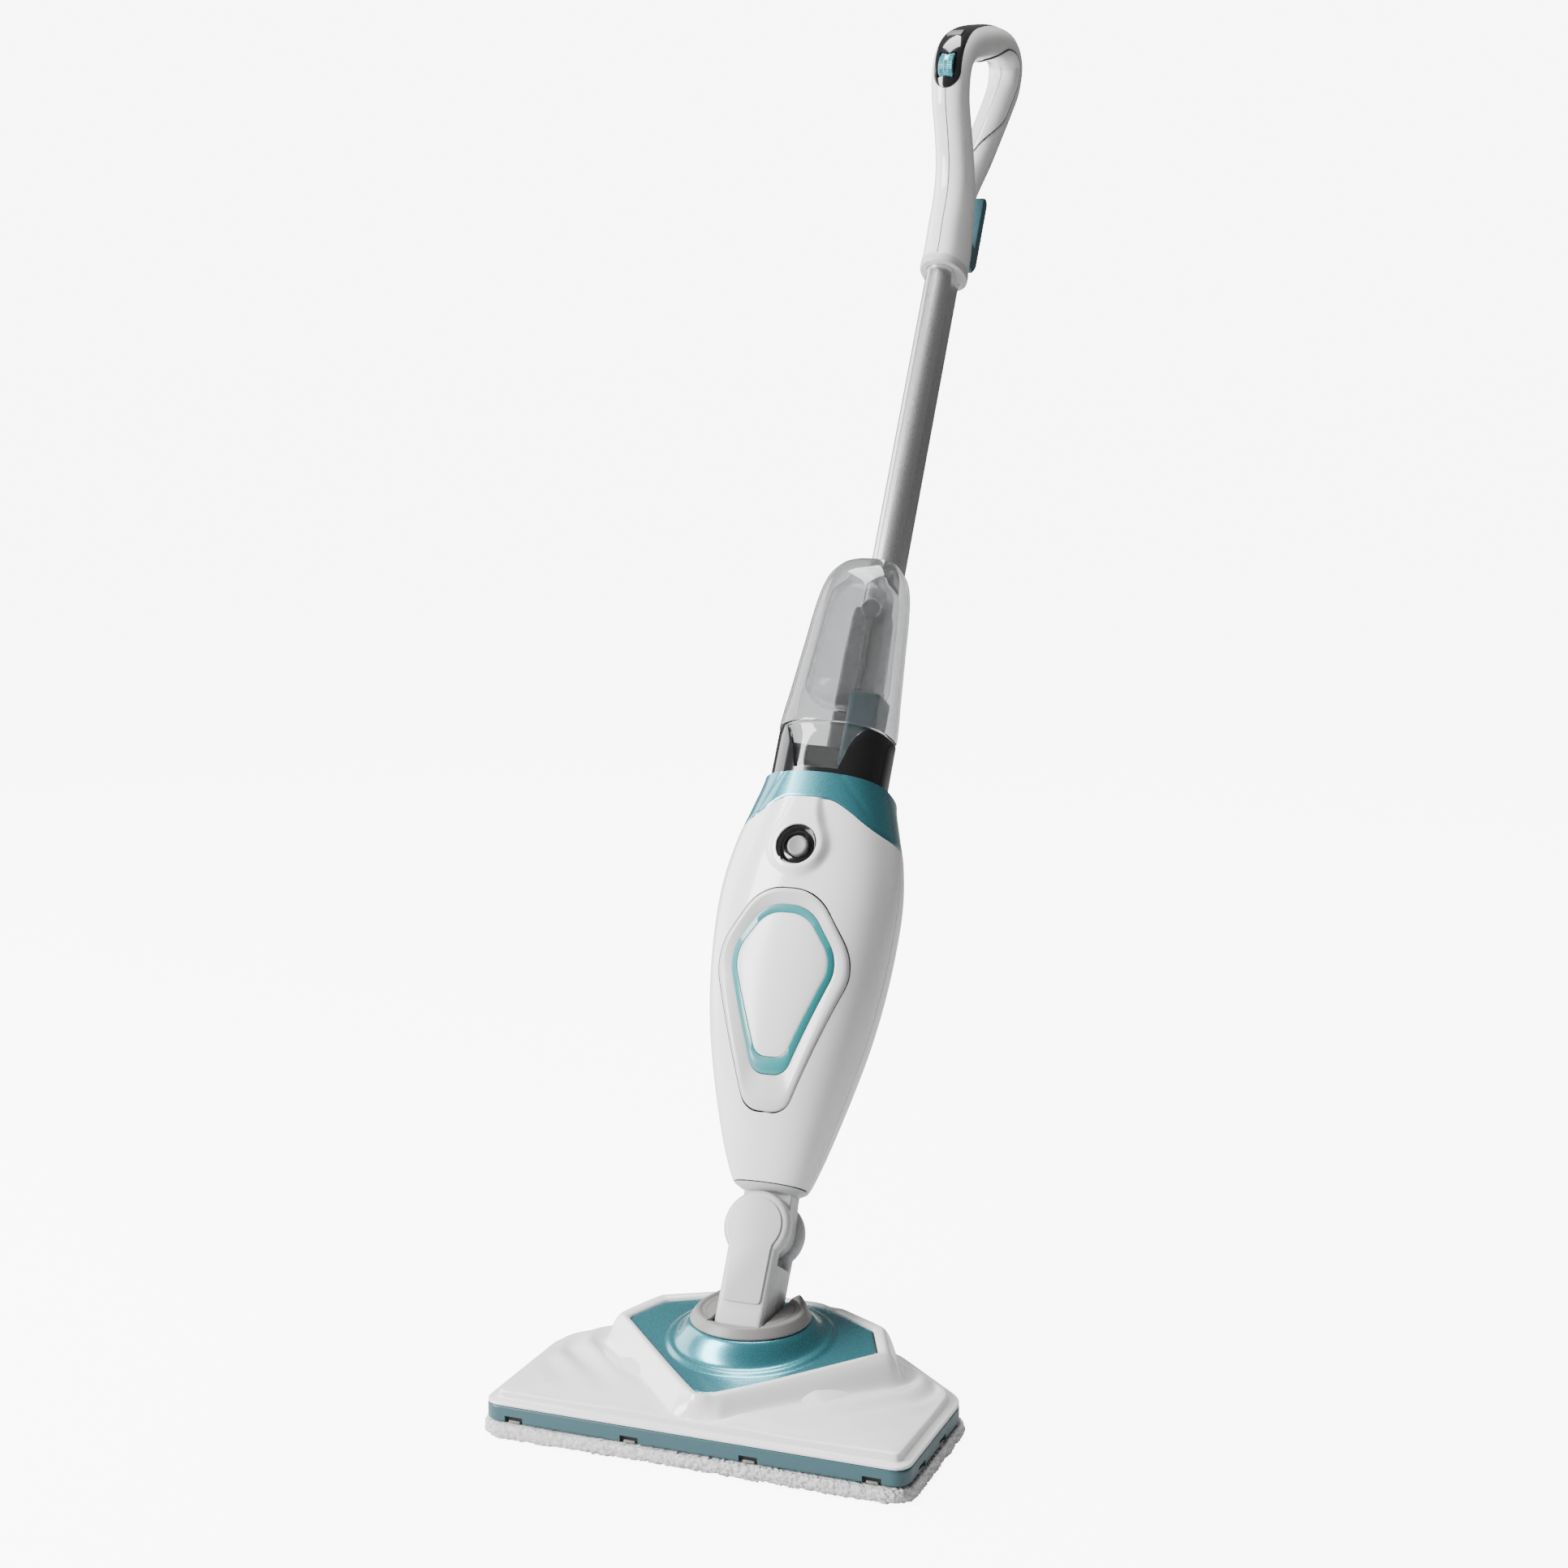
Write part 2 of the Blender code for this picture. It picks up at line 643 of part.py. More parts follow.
def make_tilt_hinge():
    """Two bearing pillars on the sole and the cross pin that carries the neck."""
    y, z = math.sin(LEAN) * TILT_T, FOOT_Z + math.cos(LEAN) * TILT_T
    pieces = []
    for name, side in (("hinge_pillar_left", -1), ("hinge_pillar_right", 1)):
        near, far = sorted((side * (NECK_HALF + 0.0006), side * (NECK_HALF + 0.0080)))
        pillar = new_object(
            name, box((near, y - 0.010, 0.0163), (far, y + 0.010, z + 0.0078)), (GREY, 0.5)
        )
        boolean(pillar, cutter(rod((near - 0.01, y, z), (far + 0.01, y, z), 0.0043, 24)))
        pieces.append(pillar)
    end = NECK_HALF + 0.0078
    pin = new_object("tilt_pin", rod((-end, y, z), (end, y, z), 0.0040, 24), (GREY, 0.3, 1.0))
    return pieces + [pin]


def make_steam_manifold():
    """Flat chamber on the sole that feeds the steam holes, with a spigot for the hose."""
    chamber = new_object(
        "steam_manifold", box((-0.098, -0.060, 0.0163), (0.098, -0.030, 0.0235), 0.001), (GREY, 0.5)
    )
    spigot = cutter(rod((0.0, -0.034, 0.0200), (0.0, -0.0200, 0.0270), 0.0032, 14))
    return boolean(chamber, spigot, "UNION")


# ---- neck ---------------------------------------------------------------------------------------
def stem_rows(side):
    """Half sections of the neck's stem, from its lower end to the ears."""
    stations = (
        (0.0115, 0.0150, 0.0070),
        (0.0140, 0.0180, 0.0110),
        (0.0220, NECK_HALF, 0.0150),
        (0.0330, NECK_HALF, 0.0190),
        (0.0460, NECK_HALF, 0.0210),
        (SLOT_T, 0.0200, 0.0210),
    )
    edge = NECK_FRONT / 0.0210 if side > 0 else 1.0
    rows = []
    for t, half, deep in stations:
        row = []
        for k in range(13):
            a = math.pi * k / 12
            n = GAP / 2 + (deep * edge - GAP / 2) * abs(math.sin(a)) ** 0.42
            row.append(lean(half * power(math.cos(a), 0.42), side * n, t))
        rows.append(row)
    return rows


def ear_outline(radius, half, low):
    """Round lobe on a straight stem."""
    start = math.asin(half / radius)
    turn = math.tau - 2 * start
    lobe = [
        (radius * math.sin(start + turn * k / 28), ROLL_T - radius * math.cos(start + turn * k / 28))
        for k in range(29)
    ]
    return [(half * 0.97, low)] + lobe + [(-half * 0.97, low)]


def make_neck_half(name, side):
    """Half of the fork: stem, ear and the bores for its pins."""
    half = new_object(name, loft(stem_rows(side)), (PALE, 0.35))
    near, far = sorted((side * EAR_IN, NECK_FRONT if side > 0 else NECK_REAR))
    ear = cutter(prism(ear_outline(EAR_R, 0.0205, 0.0600), near, far, facing, 0.0016))
    boolean(half, ear, "UNION")
    pin = rod(lean(-0.05, 0, TILT_T), lean(0.05, 0, TILT_T), 0.0043, 24)
    boolean(half, cutter(pin))
    reach = (-0.010, NECK_FRONT - 0.002) if side > 0 else (NECK_REAR - 0.01, 0.010)
    boolean(half, cutter(rod(lean(0, reach[0], ROLL_T), lean(0, reach[1], ROLL_T), 0.0053, 24)))
    steam_way = rod(lean(0, 0, 0.0285), lean(0, 0, 0.0900), 0.0048, 16)
    return boolean(half, cutter(steam_way))


def make_neck_inlay():
    """Keyhole-shaped plate on the front ear."""
    outline = ear_outline(0.0200, 0.0150, 0.0440)
    low = NECK_FRONT + GAP
    return new_object(
        "neck_inlay", prism(outline, low, low + 0.0011, facing, 0.0005), (PALE, 0.4)
    )


def make_neck_parts():
    front = make_neck_half("neck_front", 1)
    rear = make_neck_half("neck_rear", -1)
    pin = turned(
        ((0, 0), (0.0078, 0), (0.0078, 0.0014), (0.0050, 0.0020), (0.0050, 0.0420), (0, 0.0425)),
        24,
        Matrix.Translation(lean(0, NECK_REAR - 0.0022, ROLL_T)) @ Matrix.Rotation(math.pi / 2, 4, "X"),
    )
    roll_pin = new_object("roll_pin", pin, (GREY, 0.3, 1.0))
    tube = new_object(
        "neck_steam_tube", rod(lean(0, 0, 0.0290), lean(0, 0, 0.0735), 0.0042, 14), (BLACK, 0.6)
    )
    return [front, rear, make_neck_inlay(), roll_pin, tube]


# ---- body ---------------------------------------------------------------------------------------
def casing_point(t, angle, inset=0.0, proud=0.0):
    """A point of the casing: angle 0 is the right side and 90 degrees the front."""
    half, widest, front, back = along(CASING, t)
    deep = (front - widest) if math.sin(angle) >= 0 else (widest - back)
    grow = proud - inset
    x = (half + grow) * power(math.cos(angle), 0.88)
    n = widest + (deep + grow) * power(math.sin(angle), 0.84)
    return lean(x, n, t)


def collar_edge(angle):
    """Lower edge of the collar: highest at the front, sloping down to both sides."""
    if math.sin(angle) < 0:
        return COLLAR_LOW
    return COLLAR_PEAK - (COLLAR_PEAK - COLLAR_LOW) * smooth(0.18, 1.0, abs(math.cos(angle)))


def casing_rows(first, last, inset, low, top):
    """Rows of the casing between two angles, from low to a top that may follow the collar's edge."""
    levels = (0.0, 0.06, 0.16, 0.3, 0.46, 0.62, 0.76, 0.88, 1.0)
    rows = []
    for u in levels:
        row = []
        for k in range(19):
            angle = first + (last - first) * k / 18
            t = low + (top(angle) - low) * u
            row.append(casing_point(t, angle, inset))
        rows.append(row)
    return rows


def make_shells():
    """Front and rear casing shells, split along the widest line."""
    shells = []
    part = GAP / 2 / 0.030  # half the gap as an angle
    for name, first in (("front_shell", 0.0), ("rear_shell", math.pi)):
        span = (first + part, first + math.pi - part)
        outer = casing_rows(*span, 0.0, SPLIT_LOW, lambda a: collar_edge(a) - GAP)
        inner = casing_rows(*span, WALL, SPLIT_LOW, lambda a: collar_edge(a) - GAP)
        shells.append(new_object(name, slab(outer, inner, wrap=False), (WHITE, 0.25)))
    return shells


def full_turn(count=36):
    return [math.tau * k / count for k in range(count)]


def make_bottom_cap():
    """Dished cap that closes the shells' lower end round the knuckle."""
    turn = full_turn(36)
    rows = [[casing_point(0.1265, a, 0.004) for a in turn]]
    rows += [[casing_point(t, a) for a in turn] for t in (0.1282, SPLIT_LOW - GAP)]
    cap = new_object("bottom_cap", loft(rows), (PALE, 0.35))
    hole = box((-0.0188, -0.0093, 0.12), (0.0188, 0.0093, 0.14))
    return boolean(cap, cutter(hole))


def make_knuckle():
    """Tongue that hangs from the casing and turns on the roll pin between the ears."""
    radius = 0.0205
    arc = [
        (radius * math.cos(a), ROLL_T + radius * math.sin(a))
        for a in [math.pi + math.pi * k / 16 for k in range(17)]
    ]
    outline = arc + [(0.0185, 0.1225), (0.0185, 0.1480), (-0.0185, 0.1480), (-0.0185, 0.1225)]
    tongue = new_object("knuckle", prism(outline, -0.0090, 0.0090, facing, 0.0006, 1), (PALE, 0.35))
    boolean(tongue, cutter(rod(lean(0, -0.05, ROLL_T), lean(0, 0.05, ROLL_T), 0.0053, 24)))
    return tongue


def make_collar():
    """Pearly collar between the shells and the tank seat."""
    turn = full_turn()
    outer, inner = [], []
    for u in (0.0, 0.5, 1.0):
        heights = [collar_edge(a) + (COLLAR_TOP - collar_edge(a)) * u for a in turn]
        outer.append([casing_point(t, a) for t, a in zip(heights, turn)])
        inner.append([casing_point(t, a, WALL) for t, a in zip(heights, turn)])
    return new_object("shoulder_collar", slab(outer, inner), (PEARL, 0.3, 0.6))


def badge_outline(scale_x, low, high):
    """Shield with a broad top and a narrow round foot, between two heights."""
    tall = high - low
    corners = (
        (-scale_x * 0.30, low),
        (scale_x * 0.30, low),
        (scale_x * 1.07, low + tall * 0.69),
        (scale_x * 0.42, high),
        (-scale_x * 0.42, high),
        (-scale_x * 1.07, low + tall * 0.69),
    )
    return rounded(corners, [scale_x * r for r in (0.30, 0.30, 0.75, 0.65, 0.65, 0.75)], steps=4)


def on_front(outline, inset):
    """Lay an outline of x and t on the casing's front, inset below its surface."""
    row = []
    for x, t in outline:
        half, widest, front, _ = along(CASING, t)
        side = min(0.999, abs(x) / half) ** (1 / 0.88)
        n = widest + (front - widest) * (1 - side * side) ** 0.42
        row.append(lean(x, n - inset, t))
    return row


def badge_opening():
    """Opening in the front shell that the badge fills."""
    return cutter(prism(badge_outline(0.0518, 0.1757, 0.3353), 0.030, 0.100, facing))


def make_badge():
    """Recessed shield on the front: bevelled surround, teal ring and plate."""
    wide = badge_outline(0.0515, 0.1760, 0.3350)
    mid = badge_outline(0.0400, 0.2025, 0.3232)
    ring_in = badge_outline(0.0362, 0.2133, 0.3182)
    surround = slab(
        [on_front(wide, -0.0004), on_front(badge_outline(0.0500, 0.1785, 0.3330), -0.0014),
         on_front(mid, 0.0006)],
        [on_front(wide, 0.0010), on_front(badge_outline(0.0500, 0.1785, 0.3330), 0.0010),
         on_front(mid, 0.0012)],
    )
    pieces = [new_object("badge_surround", surround, (PALE, 0.3))]
    gap_out = badge_outline(0.0396, 0.2031, 0.3227)
    ring = slab(
        [on_front(gap_out, -0.0002), on_front(ring_in, -0.0002)],
        [on_front(gap_out, 0.0012), on_front(ring_in, 0.0012)],
    )
    pieces.append(new_object("badge_ring", ring, (TEAL, 0.4)))
    plate_out = badge_outline(0.0358, 0.2139, 0.3177)
    plate_mid = badge_outline(0.0200, 0.2400, 0.3000)
    centre = badge_outline(0.0050, 0.2660, 0.2760)
    plate = slab(
        [on_front(plate_out, 0.0000), on_front(plate_mid, 0.0000), on_front(centre, 0.0000)],
        [on_front(plate_out, 0.0012), on_front(plate_mid, 0.0012), on_front(centre, 0.0012)],
        cap_high=True,
    )
    pieces.append(new_object("badge_plate", plate, (WHITE, 0.3)))
    return pieces


def across_front(t, n):
    """Turns a piece drawn along +Z to face the front at height t, from depth n."""
    return Matrix.Translation(lean(0, n, t)) @ Matrix.Rotation(math.pi / 2, 4, "X")


def make_button():
    """Cup-shaped bezel, the round button inside it and the switch behind it."""
    bezel_profile = (
        (0.0082, -0.0090), (0.0160, -0.0090), (0.0160, 0.0034), (0.0150, 0.0044), (0.0140, 0.0040),
        (0.0125, -0.0010), (0.0082, -0.0022), (0.0082, -0.0090),
    )
    bezel = turned(bezel_profile, 32, across_front(BUTTON_T, BUTTON_AXIS_N))
    cap_profile = ((0, -0.0120), (0.0076, -0.0120), (0.0076, 0.0022), (0.0066, 0.0032), (0, 0.0030))
    cap = turned(cap_profile, 32, across_front(BUTTON_T, BUTTON_AXIS_N))
    switch = box((-0.010, -0.0620, BUTTON_T - 0.008), (0.010, -0.0500, BUTTON_T + 0.008), 0.001)
    return [
        new_object("button_bezel", bezel, (BLACK, 0.3)),
        new_object("steam_button", cap, (GREY, 0.35)),
        new_object("button_switch", switch, (BLACK, 0.5)),
    ]


def pole_outline(grow, count=20):
    """Twin-lobe section of the pole, as x and n."""
    points = []
    for k in range(count * 2):
        a = math.tau * k / (count * 2)
        front = math.sin(a) >= 0
        r = (POLE_FRONT_R if front else POLE_REAR_R) + grow
        c = POLE_FRONT_N if front else POLE_REAR_N
        waist = 1.0 - 0.10 * max(0.0, 1.0 - abs(math.sin(a)) / 0.22)
        points.append((r * math.cos(a) * waist, c + r * math.sin(a)))
    return points


def tube_rows(grow, low, high):
    return [[lean(x, n, t) for x, n in pole_outline(grow)] for t in (low, high)]


def make_pole():
    """Twin-lobe tube with a hole in its back for the upper hook's pin."""
    pole = new_object(
        "pole", slab(tube_rows(0, POLE_LOW, POLE_TOP), tube_rows(-0.0012, POLE_LOW, POLE_TOP)),
        (PALE, 0.2, 1.0),
    )
    return boolean(pole, cutter(hook_pin(-0.040, GAP)))


def make_spine():
    """White rib behind the tank: a socket round the pole."""
    outline = rounded(
        ((-0.0148, -0.0240), (0.0148, -0.0240), (0.0160, 0.0226), (-0.0160, 0.0226)),
        (0.0110, 0.0110, 0.004, 0.004), steps=4,
    )
    rows = []
    for t, scale in ((0.4262, 1.0), (0.5400, 0.98), (0.5750, 0.94), (0.5830, 0.90)):
        rows.append([lean(p.x * max(scale, 0.90), -0.001 + (p.y + 0.001) * scale, t) for p in outline])
    spine = new_object("tank_spine", loft(rows), (WHITE, 0.3))
    return boolean(spine, cutter(loft(tube_rows(GAP, 0.40, 0.60))))


def tank_point(t, half, front, angle, inset=0.0):
    """A point of the tank: round front, flat back before the pole."""
    widest = 0.038
    x = (half - inset) * power(math.cos(angle), 0.82)
    deep = front - widest if math.sin(angle) >= 0 else widest - TANK_BACK
    exponent = 0.86 if math.sin(angle) >= 0 else 0.5
    return lean(x, widest + (deep - inset) * power(math.sin(angle), exponent), t)


def make_tank():
    """Lift-out tank: smoky shell, foot, filler cap, dip tube and filter."""
    turn = full_turn(34)
    outer, inner = [], []
    for t, half, front in TANK:
        outer.append([tank_point(t, half, front, a) for a in turn])
        thin = 0.0020 if half > 0.02 else 0.0030
        inner.append([tank_point(min(t, 0.6132) - 0.0001, half, front, a, thin) for a in turn])
    shell = new_object("water_tank", slab(outer, inner, cap_high=True), (GREY, 0.05, 0.0, 0.35))
    _, foot_half, foot_front = TANK[0]
    rows = [
        [tank_point(t, foot_half, foot_front, a, 0.0020 + GAP) for a in turn] for t in (0.4290, 0.4320)
    ]
    foot = new_object("tank_foot", loft(rows), (BLACK, 0.3))
    boolean(foot, cutter(rod(lean(-0.018, 0.050, 0.42), lean(-0.018, 0.050, 0.44), 0.0103, 28)))
    cap = new_object(
        "tank_cap", rod(lean(-0.018, 0.050, 0.4286), lean(-0.018, 0.050, 0.4372), 0.0100, 28), (BLACK, 0.4)
    )
    stem = box((0.0040, -0.0360, 0.4323), (0.0075, -0.0290, 0.5720), 0.0006)
    dip = new_object("dip_tube", stem, (BLACK, 0.4))
    knob = turned(
        ((0, -0.004), (0.0068, -0.004), (0.0075, -0.002), (0.0075, 0.002), (0.006, 0.0036), (0, 0.0036)),
        24,
        across_front(0.5755, 0.036) @ Matrix.Translation((0.0058, 0, 0)),
    )
    boolean(dip, cutter(knob), "UNION")
    filter_outline = rounded(((0.010, 0.030), (0.034, 0.030), (0.032, 0.056), (0.010, 0.062)), [0.004] * 4)
    filter_box = prism(filter_outline, 0.4323, 0.4980, lambda u, v, w: lean(u, v, w), 0.001)
    return [shell, foot, cap, dip, new_object("filter_cartridge", filter_box, (TEAL, 0.3))]


def seat_edge(angle):
    """Rim of the tank seat: low at the front, tall cheeks at the sides and behind."""
    if math.sin(angle) < 0:
        return SEAT_TOP
    return 0.4300 + (SEAT_TOP - 0.4300) * smooth(0.36, 0.92, abs(math.cos(angle)))


def seat_ring(low, share, grow):
    """A ring of the seat: share of the way from its floor to its rim, grown from the tank's foot."""
    _, half, front = TANK[0]
    row = []
    for angle in full_turn(34):
        t = low + (seat_edge(angle) - low) * share
        row.append(tank_point(t, half, front, angle, -grow))
    return row


def make_tank_seat():
    """Black cup that holds the tank's foot."""
    low = COLLAR_TOP + GAP
    floor_mid = [[tank_point(t, 0.004, 0.042, a) for a in full_turn(34)] for t in (low, low + 0.0018)]
    outer = [floor_mid[0]] + [seat_ring(low, u, 0.0021) for u in (0.0, 0.1, 0.5, 1.0)]
    inner = [floor_mid[1]] + [seat_ring(low + 0.0019, u, GAP) for u in (0.0, 0.05, 0.5)]
    inner.append(seat_ring(low, 1.0, GAP))
    seat = new_object("tank_seat", slab(outer, inner, cap_low=True), (BLACK, 0.15))
    return boolean(seat, cutter(box((-0.0170, -0.0241, 0.40), (0.0170, 0.05, 0.48))))


def make_internals():
    """What heats and moves the water, inside the casing."""
    boiler = turned(
        ((0, 0), (0.016, 0.001), (0.024, 0.008), (0.024, 0.088), (0.016, 0.096), (0, 0.098)),
        28,
        Matrix.Translation(lean(0, 0.010, 0.165)),
    )
    pump = box((-0.038, -0.052, 0.285), (-0.006, -0.018, 0.330), 0.003)
    board = box((0.004, -0.054, 0.285), (0.0058, -0.002, 0.352), 0.0)
    inlet = turned(
        ((0, -0.006), (0.0085, -0.006), (0.0085, 0.0), (0.0065, 0.0010), (0.0055, 0.010), (0.0035, 0.010),
         (0.0035, 0.002), (0, 0.002)),
        24,
        Matrix.Translation(lean(0, -0.0274, 0.200)) @ Matrix.Rotation(-math.pi / 2, 4, "X"),
    )
    return [
        new_object("boiler", boiler, (GREY, 0.3, 1.0)),
        new_object("pump", pump, (GREY, 0.5)),
        new_object("control_board", board, ((0.02, 0.12, 0.05), 0.5)),
        new_object("cord_inlet", inlet, (BLACK, 0.5)),
    ]


def bend(points, steps=6):
    """A smooth run of points through a few hand-placed ones."""
    out = []
    count = len(points)
    for i in range(count - 1):
        p0, p1 = Vector(points[max(i - 1, 0)]), Vector(points[i])
        p2, p3 = Vector(points[i + 1]), Vector(points[min(i + 2, count - 1)])
        for k in range(steps):
            u = k / steps
            out.append(
                0.5 * (2 * p1 + (p2 - p0) * u + (2 * p0 - 5 * p1 + 4 * p2 - p3) * u**2
                       + (3 * p1 - p0 - 3 * p2 + p3) * u**3)
            )
    out.append(Vector(points[-1]))
    return out


def make_pipes():
    water = bend([lean(-0.018, 0.050, 0.4240), lean(-0.020, 0.050, 0.400), lean(-0.024, 0.042, 0.360),
                  lean(-0.022, 0.036, 0.3312)])
    steam = [lean(0, 0.010, t) for t in (0.1510, 0.1580, 0.1645)]
    return [
        pipe("water_pipe", water, 0.0030, (PALE, 0.5)),
        pipe("steam_pipe", steam, 0.0030, (BLACK, 0.6)),
    ]


# ---- handle -------------------------------------------------------------------------------------
def handle_frames(first, last):
    """Centre, outward direction and half sizes at every half step of the handle's centre line."""
    return [handle_at(first + k / 2) for k in range(2 * (last - first) + 1)]


def handle_at(position):
    """Smooth point of the centre line at a fractional index, with its outward normal."""
    def value(at, column):
        i = min(int(at), len(HANDLE) - 2)
        u = at - i
        p0, p1 = HANDLE[max(i - 1, 0)][column], HANDLE[i][column]
        p2, p3 = HANDLE[i + 1][column], HANDLE[min(i + 2, len(HANDLE) - 1)][column]
        return 0.5 * (2 * p1 + (p2 - p0) * u + (2 * p0 - 5 * p1 + 4 * p2 - p3) * u**2
                      + (3 * p1 - p0 - 3 * p2 + p3) * u**3)

    low, high = max(position - 0.05, 0.0), min(position + 0.05, len(HANDLE) - 1.0)
    run = Vector((value(high, 0) - value(low, 0), value(high, 1) - value(low, 1))).normalized()
    outward = Vector((run.y, -run.x))
    centre = Vector((value(position, 0), value(position, 1)))
    return centre, outward, value(position, 2), value(position, 3)


def half_section(frame, side, shrink=0.0, count=10):
    """Half an oval section, flat on the seam plane."""
    centre, outward, half, deep = frame
    row = []
    for k in range(count + 1):
        a = math.pi * k / count - math.pi / 2
        x = GAP / 2 + (half - shrink - GAP / 2) * abs(math.cos(a)) ** 0.85
        p = centre + outward * ((deep - shrink) * power(math.sin(a), 0.9))
        row.append(lean(side * x, p.x, p.y))
    return row


def make_handle_half(name, side):
    """One half shell: the strut and roof, joined to the rear strut at the foot of the loop."""
    front = [half_section(f, side) for f in handle_frames(0, LOOP_END)]
    rear = [half_section(f, side) for f in handle_frames(LOOP_END, len(HANDLE) - 1)]
    half = new_object(name, loft(front + rear[1:4]), (WHITE, 0.25))
    boolean(half, cutter(loft(rear[2:])), "UNION")
    boolean(half, cutter(loft(tube_rows(GAP, 0.85, POLE_TOP + 0.001))))
    boolean(half, cutter(cover_solid(GAP)))
    boolean(half, cutter(dial_well()))
    return half


def cover_rows(grow):
    """Sections of the black strip along the outside of the bezel and roof."""
    rows = []
    for position in [6.2 + 0.4 * k for k in range(16)]:
        centre, outward, half, deep = handle_at(position)
        taper = 1.0 - 0.72 * smooth(8.0, 12.2, position)
        width = 0.0108 * taper + grow
        depth = 0.0060 * (0.5 + 0.5 * taper) + grow
        row = []
        for k in range(9):
            a = math.pi * k / 8
            x = width * math.cos(a)
            drop = 1.0 - 0.42 * (abs(x) / half) ** 2.2
            p = centre + outward * (deep * drop + 0.0004 + grow)
            row.append(lean(x, p.x, p.y))
        for x in (-width, width):
            p = centre + outward * (deep - depth)
            row.append(lean(x, p.x, p.y))
        rows.append(row)
    return rows


def cover_solid(grow):
    return loft(cover_rows(grow))


def dial_well():
    """Pocket for the thumb dial, through the strip into the strut."""
    return rod(lean(-0.0078, DIAL_N, DIAL_T), lean(0.0078, DIAL_N, DIAL_T), DIAL_R + 0.0012, 32)


def window_box(grow):
    """The lamp window above the dial, set into the strip's face."""
    centre, outward, _, deep = handle_at(8.62)
    face = centre + outward * (deep + 0.0003)
    turn = Matrix.Rotation(math.atan2(outward.y, outward.x), 4, "X")
    low = (-0.0062 - grow, -0.0008 - grow, -0.0044 - grow)
    high = (0.0062 + grow, 0.0030 + grow, 0.0044 + grow)
    return box(low, high, 0.0, Matrix.Translation(lean(0, face.x, face.y)) @ turn)


def make_handle():
    left, right = make_handle_half("handle_left", -1), make_handle_half("handle_right", 1)
    cover = new_object("top_cover", cover_solid(0.0), (BLACK, 0.25))
    boolean(cover, cutter(dial_well()))
    boolean(cover, cutter(window_box(GAP)))
    window = new_object("dial_window", window_box(0.0), (GREY, 0.2))
    dial = rod(lean(-0.0072, DIAL_N, DIAL_T), lean(0.0072, DIAL_N, DIAL_T), DIAL_R, 32)
    axle = rod(lean(-0.0130, DIAL_N, DIAL_T), lean(0.0130, DIAL_N, DIAL_T), 0.0020, 12)
    thumb_dial = new_object("thumb_dial", dial, (PEARL, 0.35))
    rim_outer, rim_inner = [], []
    for t, grow in ((0.8900, 0.0030), (0.8910, 0.0040), (0.8922 - GAP, 0.0042)):
        frame = (Vector((0.0, t)), Vector((1.0, 0.0)), 0.0142 + grow, 0.0207 + grow)
        rim_outer.append(full_section(frame))
        rim_inner.append([lean(x, n, t) for x, n in pole_outline(GAP, 12)])
    collar = new_object("handle_collar", slab(rim_outer, rim_inner), (PALE, 0.35))
    for obj in (left, right):
        boolean(obj, cutter(rod(lean(-0.0134, DIAL_N, DIAL_T), lean(0.0134, DIAL_N, DIAL_T), 0.0023, 12)))
        boolean(obj, cutter(hook_pin(-0.040, GAP)))
    boolean(thumb_dial, cutter(axle), "UNION")
    return [left, right, cover, window, collar, thumb_dial]


def full_section(frame, count=24):
    centre, outward, half, deep = frame
    row = []
    for k in range(count):
        a = math.tau * k / count
        p = centre + outward * (deep * power(math.sin(a), 0.9))
        row.append(lean(half * power(math.cos(a), 0.9), p.x, p.y))
    return row


def hook_pin(outer_end, grow):
    """The upper hook's pivot, from outside the handle into the pole."""
    return rod(lean(0, outer_end, HOOK_T), lean(0, -0.0150 + grow, HOOK_T), HOOK_PIN_R + grow, 20)


def make_hooks():
    """Swivelling upper hook on its pin, and the fixed lower hook on the casing's back."""
    root = HOOK_BACK - 0.0006
    profile = rounded(
        ((root, HOOK_T - 0.011), (root, HOOK_T + 0.011), (root - 0.016, HOOK_T + 0.011),
         (root - 0.016, HOOK_T + 0.062), (root - 0.026, HOOK_T + 0.062), (root - 0.026, HOOK_T - 0.002),
         (root - 0.019, HOOK_T - 0.011)),
        (0.002, 0.002, 0.003, 0.003, 0.004, 0.008, 0.005), steps=3,
    )
    hook = new_object("cord_hook", prism(profile, -0.0085, 0.0085, sideways, 0.0012), (TEAL, 0.4))
    boolean(hook, cutter(hook_pin(root - 0.004, 0.0)), "UNION")
    low_profile = rounded(
        ((-0.0276, 0.400), (-0.0276, 0.380), (-0.0440, 0.380), (-0.0440, 0.338), (-0.0530, 0.338),
         (-0.0530, 0.394), (-0.0470, 0.400)),
        (0.001, 0.002, 0.003, 0.003, 0.004, 0.008, 0.004), steps=3,
    )
    lower = new_object("lower_cord_hook", prism(low_profile, -0.0110, 0.0110, sideways, 0.0012), (TEAL, 0.4))
    return [hook, lower]


def make_screws():
    """Screws that hold the rear shell to the front one."""
    pieces = []
    for number, t in enumerate((0.1500, 0.2400, 0.3250), 1):
        back = along(CASING, t)[3]
        profile = ((0, 0.0003), (0.0036, 0.0003), (0.0036, 0.0012), (0.0024, 0.0022), (0.0008, 0.0022),
                   (0.0007, 0.0014), (0, 0.0014))
        place = Matrix.Translation(lean(0, back - 0.0002, t)) @ Matrix.Rotation(-math.pi / 2, 4, "X")
        pieces.append(new_object(f"case_screw_{number}", turned(profile, 16, place), (GREY, 0.3, 1.0)))
    return pieces


